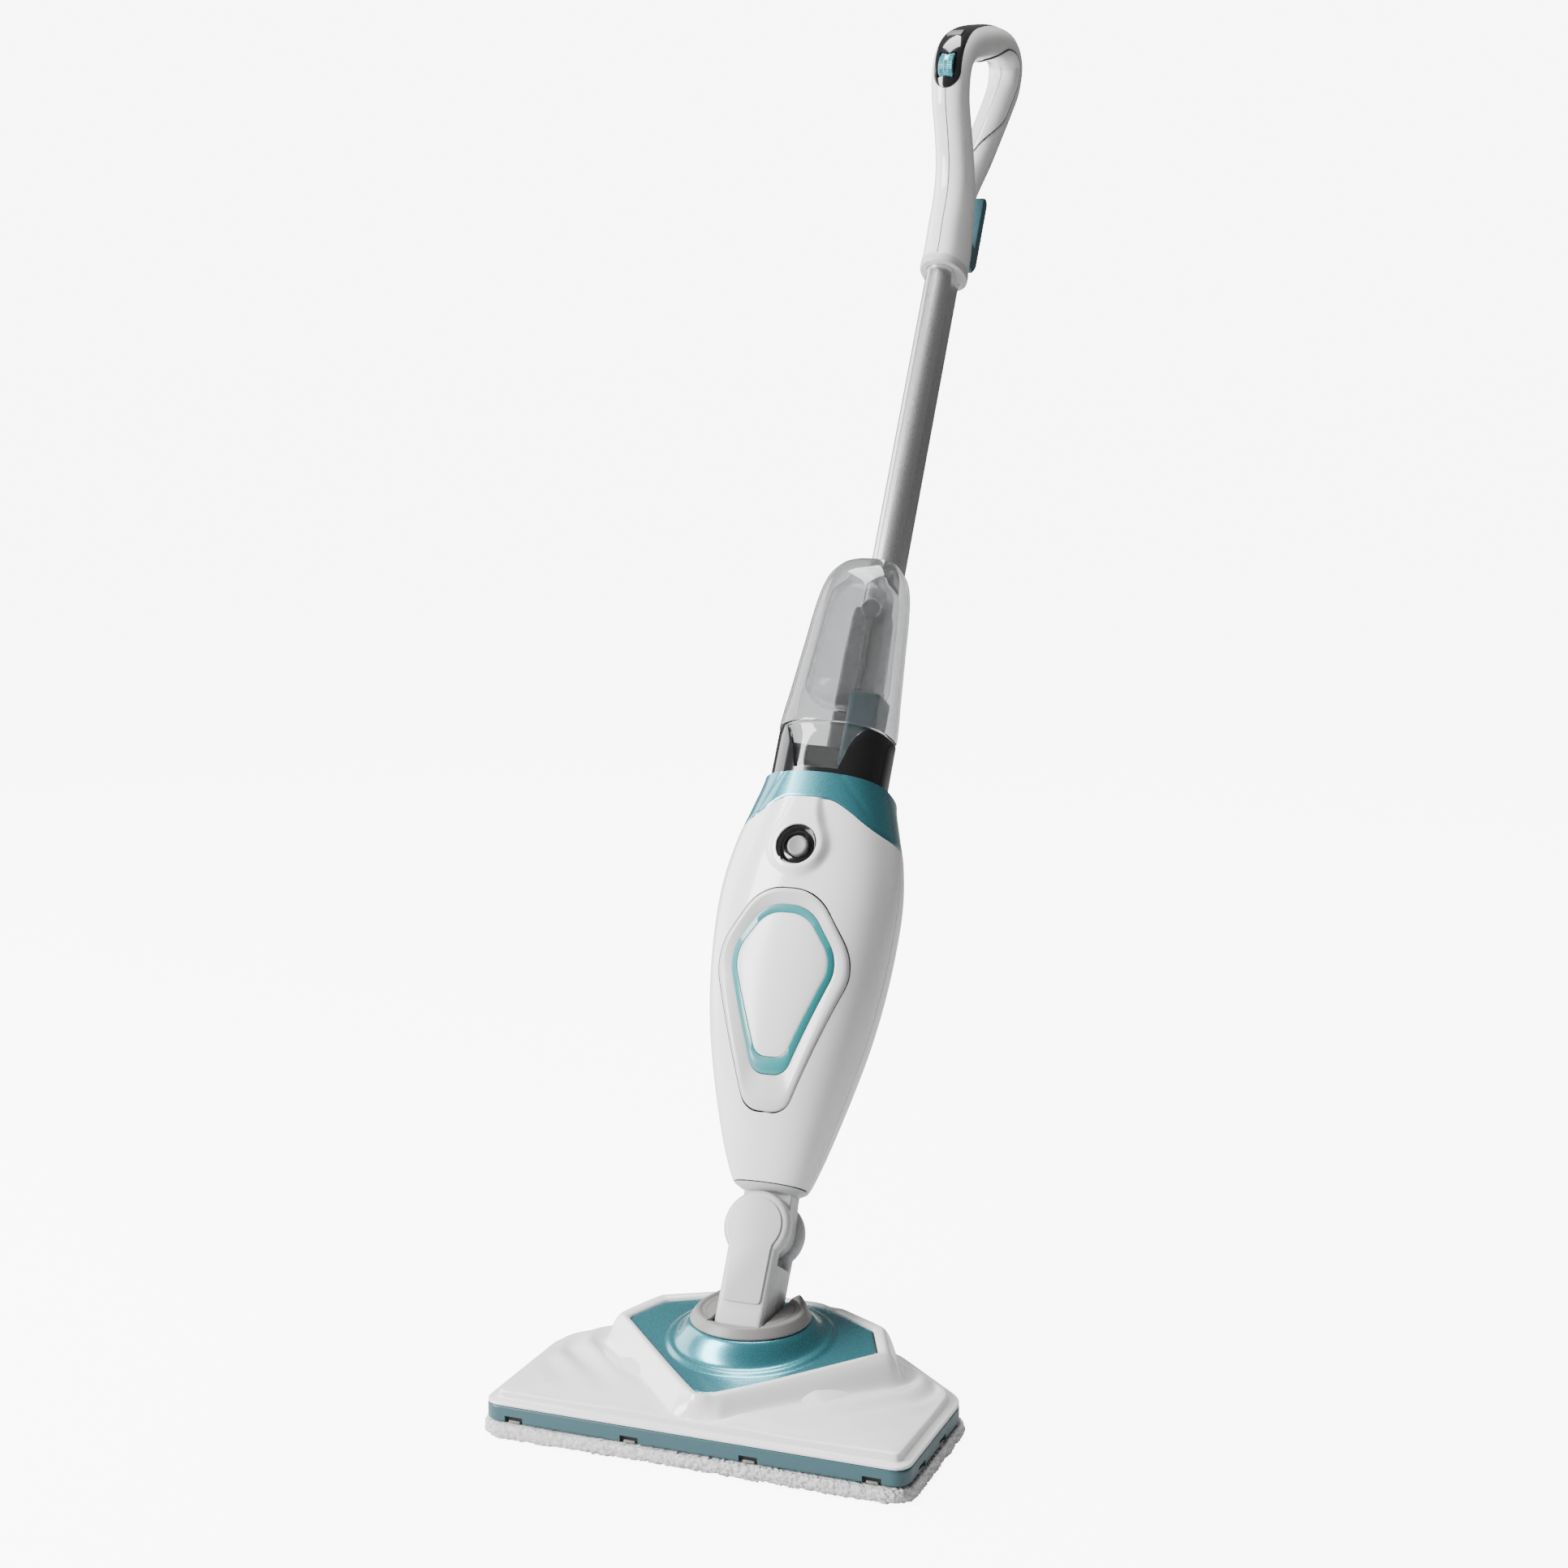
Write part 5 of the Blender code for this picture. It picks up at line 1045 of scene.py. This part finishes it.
def make_badge():
    """Bevelled frame, teal ring and crowned plate, sunk into the casing's front.

    Each line is a half width, a low and a high end, and how far it stands proud of the casing.
    """
    frame_lines = (
        (0.0508, 0.1770, 0.3341, -0.0014), (0.0508, 0.1770, 0.3341, 0.0001),
        (0.0503, 0.1777, 0.3336, 0.0007), (0.0494, 0.1794, 0.3327, 0.0010),
        (0.0476, 0.1832, 0.3311, 0.0009), (0.0464, 0.1862, 0.3300, 0.0004),
        (0.0414, 0.1990, 0.3247, -0.0026), (0.0406, 0.2010, 0.3238, -0.0031),
        (0.0402, 0.2020, 0.3234, -0.0034), (0.0402, 0.2020, 0.3234, -0.0042),
    )
    ring_lines = (
        (0.0399, 0.2026, 0.3231, -0.0040), (0.0399, 0.2026, 0.3231, -0.0030),
        (0.0396, 0.2032, 0.3228, -0.0027), (0.0360, 0.2132, 0.3177, -0.0027),
        (0.0356, 0.2140, 0.3173, -0.0030), (0.0356, 0.2140, 0.3173, -0.0040),
    )
    for name, lines, slot, stands_for, look in (
        ("badge_frame", frame_lines, "pale_grey", "badge_surround", FRAME_GREY),
        ("badge_trim", ring_lines, "teal_plastic", "badge_ring", RING_TEAL),
    ):
        rows = [badge_row(badge_outline(half, low, high), proud) for half, low, high, proud in lines]
        piece(name, rows_grid(rows), "body", slot, stands_for, look=look, sharp=40)
    outer = badge_outline(0.0353, 0.2146, 0.3170)
    sunk = -0.0031
    rows = [badge_row(outer, -0.0040), badge_row(outer, sunk)]
    for share, rise in ((0.985, 0.0002), (0.95, 0.0004), (0.85, 0.0006), (0.7, 0.0008), (0.5, 0.0009),
                        (0.25, 0.0010), (0.04, 0.0010)):
        centre = Vector(BADGE_CENTRE)
        rows.append(badge_row([centre + (p - centre) * share for p in outer], rise + sunk))
    piece("badge_face", solid(rows), "body", "white_gloss", "badge_plate", look=PLATE_WHITE, sharp=40)


def make_button():
    """Black cup sunk in the boss, with the round grey button inside."""
    facing = front_frame(0, BUTTON_N, BUTTON_T)
    cup = (
        (0.0084, -0.0090), (0.0152, -0.0090), (0.0153, 0.0024), (0.0151, 0.0032), (0.0147, 0.0035),
        (0.0143, 0.0033), (0.0139, 0.0026), (0.0128, -0.0004), (0.0122, -0.0014), (0.0116, -0.0018),
        (0.0100, -0.0016), (0.0090, -0.0012), (0.0084, -0.0016), (0.0084, -0.0090),
    )
    piece("button_cup", turned(cup, 96, facing), "body", "black_gloss", "button_bezel")
    cap = (
        (0, -0.0120), (0.0076, -0.0120), (0.0078, 0.0012), (0.0076, 0.0020), (0.0070, 0.0026),
        (0.0062, 0.0028), (0.0054, 0.0026), (0.0, 0.0023),
    )
    piece("button_cap", turned(cap, 72, facing), "button", "grey_plastic", "steam_button")


# ---- tank ---------------------------------------------------------------------------------------
def tank_at(half, front, angle, inset=0.0):
    x = (half - inset) * power(math.cos(angle), 0.82)
    deep = front - TANK_WIDEST if math.sin(angle) >= 0 else TANK_WIDEST - TANK_BACK
    exponent = 0.86 if math.sin(angle) >= 0 else 0.5
    return x, TANK_WIDEST + (deep - inset) * power(math.sin(angle), exponent)


def tank_row(t, inset, count=96):
    half, front = along(TANK, t)
    row = []
    for k in range(count):
        x, n = tank_at(max(half, inset + 0.0015), front, math.tau * k / count, inset)
        row.append(place(x, n, t))
    return row


def make_tank():
    """Clear shell with a stepped foot, and the inner chamber whose rounded floor shows through it."""
    heights = [0.4286, 0.4300] + [mix(0.4340, 0.4650, k / 5) for k in range(6)]
    heights += [0.4658, 0.4664, 0.4670, 0.4676, 0.4690]
    heights += [mix(0.474, 0.594, k / 22) for k in range(23)]
    heights += [0.5975, 0.6005, 0.6030, 0.6052, 0.6072, 0.6090, 0.6105, 0.6118]
    heights += [0.6129, 0.6138, 0.6144, 0.6148]
    outer = [tank_row(t, 0.0) for t in heights]
    inner = [tank_row(t, 0.0019) for t in heights if t < 0.6127]
    crown = place(0, 0.0400, 0.6150)
    shell = solid(outer + [[p.lerp(crown, 0.6) for p in outer[-1]]])
    wall = solid(inner)
    bmesh.ops.recalc_face_normals(wall, faces=wall.faces)
    shell = carved(shell, wall)
    piece("tank_shell", shell, "tank", "smoked_clear", "water_tank", sharp=48)

    def chamber_at(u, v):
        """Follows the shell a few millimetres inside it, closing in at its rounded floor."""
        angle, t = math.tau * u, mix(0.4880, 0.5990, v)
        half, front = along(TANK, t)
        round_off = math.sqrt(max(0.0, 1 - (1 - min(1.0, v / 0.16)) ** 2))
        share = (0.12 + 0.88 * round_off) * (1 - 0.35 * smooth(0.86, 1.0, v))
        x, n = tank_at(half, front, angle, 0.0040)
        x, n = x * 0.86 * share, mix(0.040, n, 0.90 * share)
        return place(x, n, t + 0.006 * (abs(x) / half) ** 2 * (1 - smooth(0.0, 0.3, v)))
    floor = bent_grid(chamber_at, 96, 36)
    bmesh.ops.recalc_face_normals(floor, faces=floor.faces)
    bmesh.ops.solidify(floor, geom=floor.faces[:], thickness=0.0012)
    piece("tank_chamber", floor, "tank", "smoked_clear", look=CHAMBER_SMOKE, sharp=60)


def seat_edge(angle):
    if math.sin(angle) < 0:
        return SEAT_TOP
    u = min(1.0, max(0.0, (abs(math.cos(angle)) - 0.34) / 0.40))
    return SEAT_DIP + (SEAT_TOP - SEAT_DIP) * math.sqrt(1 - (1 - u) ** 2) ** 1.3


def make_seat():
    """Black cup with a tall curved cheek at each side."""
    low = COLLAR_TOP + 0.0003
    _, half, front = TANK[0]

    def ring(share, grow, base=low):
        row = []
        for k in range(120):
            a = math.tau * k / 120
            x, n = tank_at(half, front, a, -grow)
            row.append(place(x, n, mix(base, seat_edge(a), share)))
        return row

    def middle(t):
        return [place(*tank_at(0.004, 0.042, math.tau * k / 120), t) for k in range(120)]

    rows = [middle(low)] + [ring(s, 0.0021) for s in (0.0, 0.2, 0.4, 0.6, 0.8, 0.97)]
    rows += [ring(1.0, 0.0017), ring(1.0, 0.0007), ring(0.97, 0.0003)]
    rows += [ring(s, 0.0003) for s in (0.7, 0.4, 0.1)] + [middle(low + 0.0018)]
    bm = solid(rows)
    bm = carved(bm, box((-0.0170, -0.0241, 0.40), (0.0170, 0.05, 0.48), POLE_FRAME))
    piece("seat_cup", bm, "body", "black_gloss", "tank_seat", sharp=45)


# ---- handle -------------------------------------------------------------------------------------
def handle_at(position):
    """Centre, outward normal and half sizes at a fractional index along the handle."""
    def value(at, column):
        i = min(int(at), len(HANDLE) - 2)
        u = at - i
        p0, p1 = HANDLE[max(i - 1, 0)][column], HANDLE[i][column]
        p2, p3 = HANDLE[i + 1][column], HANDLE[min(i + 2, len(HANDLE) - 1)][column]
        return 0.5 * (2 * p1 + (p2 - p0) * u + (2 * p0 - 5 * p1 + 4 * p2 - p3) * u**2
                      + (3 * p1 - p0 - 3 * p2 + p3) * u**3)

    low, high = max(position - 0.05, 0.0), min(position + 0.05, len(HANDLE) - 1.0)
    run = Vector((value(high, 0) - value(low, 0), value(high, 1) - value(low, 1))).normalized()
    centre = Vector((value(position, 0), value(position, 1)))
    return centre, Vector((run.y, -run.x)), value(position, 2), value(position, 3)


def section_point(position, angle, side, grow=0.0, seam=SEAM):
    centre, outward, half, deep = handle_at(position)
    x = seam + (half + grow - seam) * abs(math.cos(angle)) ** 0.85
    p = centre + outward * ((deep + grow) * power(math.sin(angle), 0.9))
    return place(side * x, p.x, p.y)


def half_sections(first, last, side, steps, count=22):
    rows = []
    for k in range(int((last - first) * steps) + 1):
        position = first + k / steps
        rows.append([
            section_point(position, math.pi * j / count - math.pi / 2, side) for j in range(count + 1)
        ])
    return rows


def pole_outline(grow, count=40):
    """Section of the pole: a large front lobe and a smaller one behind, with a groove between."""
    points = []
    for k in range(count * 2):
        a = math.tau * k / (count * 2)
        front = math.sin(a) >= 0
        r, c = (0.0115 + grow, 0.0080) if front else (0.0102 + grow, -0.0100)
        waist = 1.0 - 0.10 * max(0.0, 1.0 - abs(math.sin(a)) / 0.22)
        points.append((r * math.cos(a) * waist, c + r * math.sin(a)))
    return points


def pole_rows(grow, low, high):
    return [[place(x, n, t) for x, n in pole_outline(grow)] for t in (low, high)]


def cover_rows(grow):
    """Black strip: round-ended bezel below, tapering over the roof."""
    rows = []
    places = [BEZEL_FOOT - BEZEL_ROUND * math.cos(math.pi / 2 * k / 12) for k in range(12)]
    places += [BEZEL_FOOT + BEZEL_LENGTH * k / 44 for k in range(45)]
    for position in places:
        centre, outward, half, deep = handle_at(position)
        end = 0.02 + 0.98 * math.sqrt(max(0.0, 1 - (max(0.0, BEZEL_FOOT - position) / BEZEL_ROUND) ** 2))
        taper = (1.0 - 0.72 * smooth(8.0, 12.2, position)) * end
        width, depth = 0.0112 * taper + grow, 0.0060 * (0.5 + 0.5 * taper) + grow
        row = []
        for j in range(19):
            x = width * math.cos(math.pi * j / 18)
            drop = 1.0 - 0.42 * (abs(x) / half) ** 2.2
            crown = 0.0009 * math.sin(math.pi * j / 18) ** 0.5
            p = centre + outward * (deep * drop + grow + crown)
            row.append(place(x, p.x, p.y))
        for x in (-width, width):
            p = centre + outward * (deep - depth)
            row.append(place(x, p.x, p.y))
        rows.append(row)
    return rows


def dial_well():
    return dial_bar(DIAL_HALF + 0.0010, DIAL_R + 0.0010, 64)


def window_box(grow):
    centre, outward, _, deep = handle_at(WINDOW_AT)
    face = centre + outward * (deep + 0.0003)
    turn = Matrix.Rotation(-math.atan2(outward.y, outward.x), 4, "X")
    low = (-0.0062 - grow, -0.0008 - grow, -0.0050 - grow)
    high = (0.0062 + grow, 0.0030 + grow, 0.0050 + grow)
    frame_there = POLE_FRAME @ Matrix.Translation((0, -face.x, face.y)) @ turn
    return box(low, high, frame_there, 0.0 if grow else 0.0006)


def hook_pin(grow):
    return bar(place(0, -0.040, HOOK_T), place(0, -0.0150 + grow, HOOK_T), 0.0042 + grow, 32)


def make_handle():
    for name, side in (("left", -1), ("right", 1)):
        front = half_sections(0, LOOP_END, side, 5)
        rear = half_sections(LOOP_END, len(HANDLE) - 1, side, 5)
        bm = solid(front + rear[1:12])
        bm = carved(bm, solid(rear[8:]), operation="UNION")
        bm = carved(
            bm, solid(pole_rows(GAP, 0.85, POLE_TOP + 0.001)), solid(cover_rows(0.0004)), dial_well(),
            dial_bar(0.0134, 0.0023), hook_pin(GAP),
        )
        piece("grip_" + name, bm, "body", "white_gloss", "handle_" + name, sharp=40)
        make_grip_inlay(name, side)
    strip = solid(cover_rows(0.0))
    strip = carved(strip, dial_well(), window_box(GAP))
    piece("bezel_strip", strip, "body", "black_gloss", "top_cover", sharp=40)
    piece("lamp_window", window_box(0.0), "body", "grey_plastic", "dial_window", look=WINDOW)
    make_dial()
    make_core()
    make_rim()


def make_grip_inlay(name, side):
    """Insert that lines the inside of the loop, with a dark seam along its edge."""
    for part, slot, proud, wide in (
        ("loop_insert_", "white_gloss", 0.0005, 0.0), ("loop_seam_", "black_rubber", 0.0002, 0.06),
    ):
        def surface_at(u, v):
            position = mix(INSERT_FROM - wide, INSERT_TO + wide, v)
            lap = mix(0.10, 0.62, smooth(INSERT_FROM, 11.4, position))
            taper = 1 - 0.97 * smooth(15.4, INSERT_TO, position)
            angle = mix(-math.pi / 2, -math.pi / 2 + (lap * math.pi / 2 + 0.25 + wide) * taper, u)
            return section_point(position, angle, side, proud)
        bm = bent_grid(surface_at, 14, 64)
        bmesh.ops.solidify(bm, geom=bm.faces[:], thickness=0.0006)
        piece(part + name, bm, "body", slot)


def make_core():
    """Dark strip deep in the joint between the two halves."""
    rows = []
    for k in range(81):
        position = 0.1 + (LOOP_END + 4.6) * k / 80
        centre, outward, _, deep = handle_at(position)
        near, far = centre - outward * (deep - 0.0007), centre + outward * (deep - 0.0007)
        rows.append([place(-0.0006, near.x, near.y), place(0.0006, near.x, near.y),
                     place(0.0006, far.x, far.y), place(-0.0006, far.x, far.y)])
    piece("handle_core", solid(rows), "body", "black_rubber")


def make_dial():
    """Thumb wheel with a fine milled edge and a soft central band."""
    def surface_at(u, v):
        angle = math.tau * u
        x = mix(-DIAL_HALF, DIAL_HALF, v)
        rim = smooth(0.0, 0.07, v) * smooth(1.0, 0.93, v)
        off_centre = abs(v - 0.5)
        milled = smooth(0.10, 0.16, off_centre) * smooth(0.46, 0.42, off_centre)
        r = DIAL_R - 0.0008 * (1 - rim) + 0.00025 * math.cos(angle * 54) * milled
        return place(x, DIAL_N + r * math.cos(angle), DIAL_T + r * math.sin(angle))
    bm = filled(bent_grid(surface_at, 324, 28))
    axle = dial_bar(0.0130, 0.0020, 16)
    bm = carved(bm, axle, operation="UNION")
    piece("dial_wheel", bm, "dial", "pearl_teal", "thumb_dial", sharp=30)


def make_rim():
    """Pale rim where the pole enters the handle."""
    def oval(half, deep, t):
        angles = [math.tau * k / 80 for k in range(80)]
        return [place(half * power(math.cos(a), 0.9), deep * power(math.sin(a), 0.9), t) for a in angles]

    ovals = (
        (0.0168, 0.0232, 0.8896), (0.0180, 0.0244, 0.8898), (0.0185, 0.0250, 0.8904),
        (0.0187, 0.0252, 0.8914), (0.0187, 0.0252, 0.8962), (0.0186, 0.0250, 0.8970),
        (0.0183, 0.0247, 0.8974), (0.0180, 0.0243, 0.8974), (0.0180, 0.0243, 0.8921),
        (0.0150, 0.0215, 0.8921),
    )
    rows = [oval(*line) for line in ovals]
    rows += [[place(x, n, t) for x, n in pole_outline(GAP)] for t in (0.8921, 0.8896)]
    piece("pole_rim", rows_grid(rows), "body", "pale_grey", "handle_collar", sharp=50)


def make_hooks():
    root = HOOK_BACK - 0.0006
    outline = rounded(
        ((root, HOOK_T - 0.011), (root, HOOK_T + 0.011), (root - 0.016, HOOK_T + 0.011),
         (root - 0.016, HOOK_T + 0.062), (root - 0.026, HOOK_T + 0.062), (root - 0.026, HOOK_T - 0.002),
         (root - 0.019, HOOK_T - 0.011)),
        (0.002, 0.002, 0.003, 0.0040, 0.0055, 0.009, 0.005),
    )
    pin = bar(place(0, root - 0.004, HOOK_T), place(0, -0.0150, HOOK_T), 0.0042)
    bm = carved(plate(outline, -0.0085, 0.0085, SIDEWAYS, 0.0019, 4), pin, operation="UNION")
    piece("upper_hook", bm, "hook", "teal_plastic", "cord_hook", sharp=40)
    lower = rounded(
        ((-0.0276, 0.400), (-0.0276, 0.380), (-0.0440, 0.380), (-0.0440, 0.338), (-0.0530, 0.338),
         (-0.0530, 0.394), (-0.0470, 0.400)),
        (0.001, 0.002, 0.003, 0.004, 0.0045, 0.008, 0.004),
    )
    bm = plate(lower, -0.0110, 0.0110, SIDEWAYS, 0.0022, 4)
    piece("casing_hook", bm, "body", "teal_plastic", "lower_cord_hook", sharp=40)


# ---- stage --------------------------------------------------------------------------------------
def glow(tree, camera_strength, other_strength):
    """A strength that is higher where the camera looks at it, straight or through the clear tank."""
    path = node(tree, "ShaderNodeLightPath").outputs
    direct = maths(tree, "LESS_THAN", path["Diffuse Depth"], 0.5)
    through = maths(tree, "MULTIPLY", path["Is Transmission Ray"], direct)
    seen = maths(tree, "MAXIMUM", path["Is Camera Ray"], maths(tree, "MULTIPLY", through, THROUGH_TANK))
    blend = node(tree, "ShaderNodeMapRange", [("Value", seen)])
    blend.inputs["To Min"].default_value = other_strength
    blend.inputs["To Max"].default_value = camera_strength
    return blend.outputs["Result"]


def make_stage():
    """Pale floor, white surround, a large key lamp at the front left, others above and at the left."""
    mesh = bpy.data.meshes.new("studio_floor")
    bm = bmesh.new()
    below = Matrix.Translation((0, 0, -0.0004))
    bmesh.ops.create_grid(bm, x_segments=1, y_segments=1, size=60, matrix=below)
    bm.to_mesh(mesh)
    bm.free()
    pale = bpy.data.materials.new("pale floor")
    pale.use_nodes = True
    shader = pale.node_tree.nodes["Principled BSDF"]
    shader.inputs["Base Color"].default_value = (0.55, 0.55, 0.55, 1)
    shader.inputs["Roughness"].default_value = 0.9
    shader.inputs["Emission Color"].default_value = (1, 1, 1, 1)
    pale.node_tree.links.new(glow(pale.node_tree, BACKDROP, 0.0), shader.inputs["Emission Strength"])
    mesh.materials.append(pale)
    ground = bpy.data.objects.new("studio_floor", mesh)
    bpy.context.scene.collection.objects.link(ground)

    world = bpy.data.worlds.new("studio")
    bpy.context.scene.world = world
    world.use_nodes = True
    background = world.node_tree.nodes["Background"]
    background.inputs["Color"].default_value = (1.0, 1.0, 1.0, 1)
    world.node_tree.links.new(
        glow(world.node_tree, BACKDROP + 0.8 * AMBIENT, AMBIENT), background.inputs["Strength"]
    )

    def lamp(name, place_at, aim, size, watts):
        data = bpy.data.lights.new(name, "AREA")
        data.shape, data.size, data.size_y, data.energy = "RECTANGLE", size[0], size[1], watts
        obj = bpy.data.objects.new(name, data)
        bpy.context.scene.collection.objects.link(obj)
        obj.location = place_at
        obj.rotation_euler = (Vector(aim) - Vector(place_at)).to_track_quat("-Z", "Y").to_euler()

    lamp("key", (-1.6, -1.3, 1.3), (0, 0.2, 0.5), (0.9, 1.8), 170)
    lamp("top", (-0.3, 0.5, 2.6), (0, 0.1, 0.3), (1.2, 1.2), 80)
    lamp("side", (-2.3, 0.7, 0.9), (0, 0.25, 0.5), (1.4, 2.0), 40)

    camera = bpy.data.cameras.new("camera")
    camera.lens, camera.sensor_width = 59.006, 36.0
    viewer = bpy.data.objects.new("camera", camera)
    viewer.location = (0.6569, -1.5951, 0.7558)
    viewer.rotation_euler = (math.radians(80.182), 0, math.radians(21.331))
    bpy.context.scene.collection.objects.link(viewer)
    bpy.context.scene.camera = viewer


make_pad()
make_bumper()
make_clips()
make_cover()
make_panel()
make_ring()
make_neck()
make_shells()
make_bottom_cap()
make_collar()
make_badge()
make_button()
make_tank()
make_seat()
make_handle()
make_hooks()
make_stage()
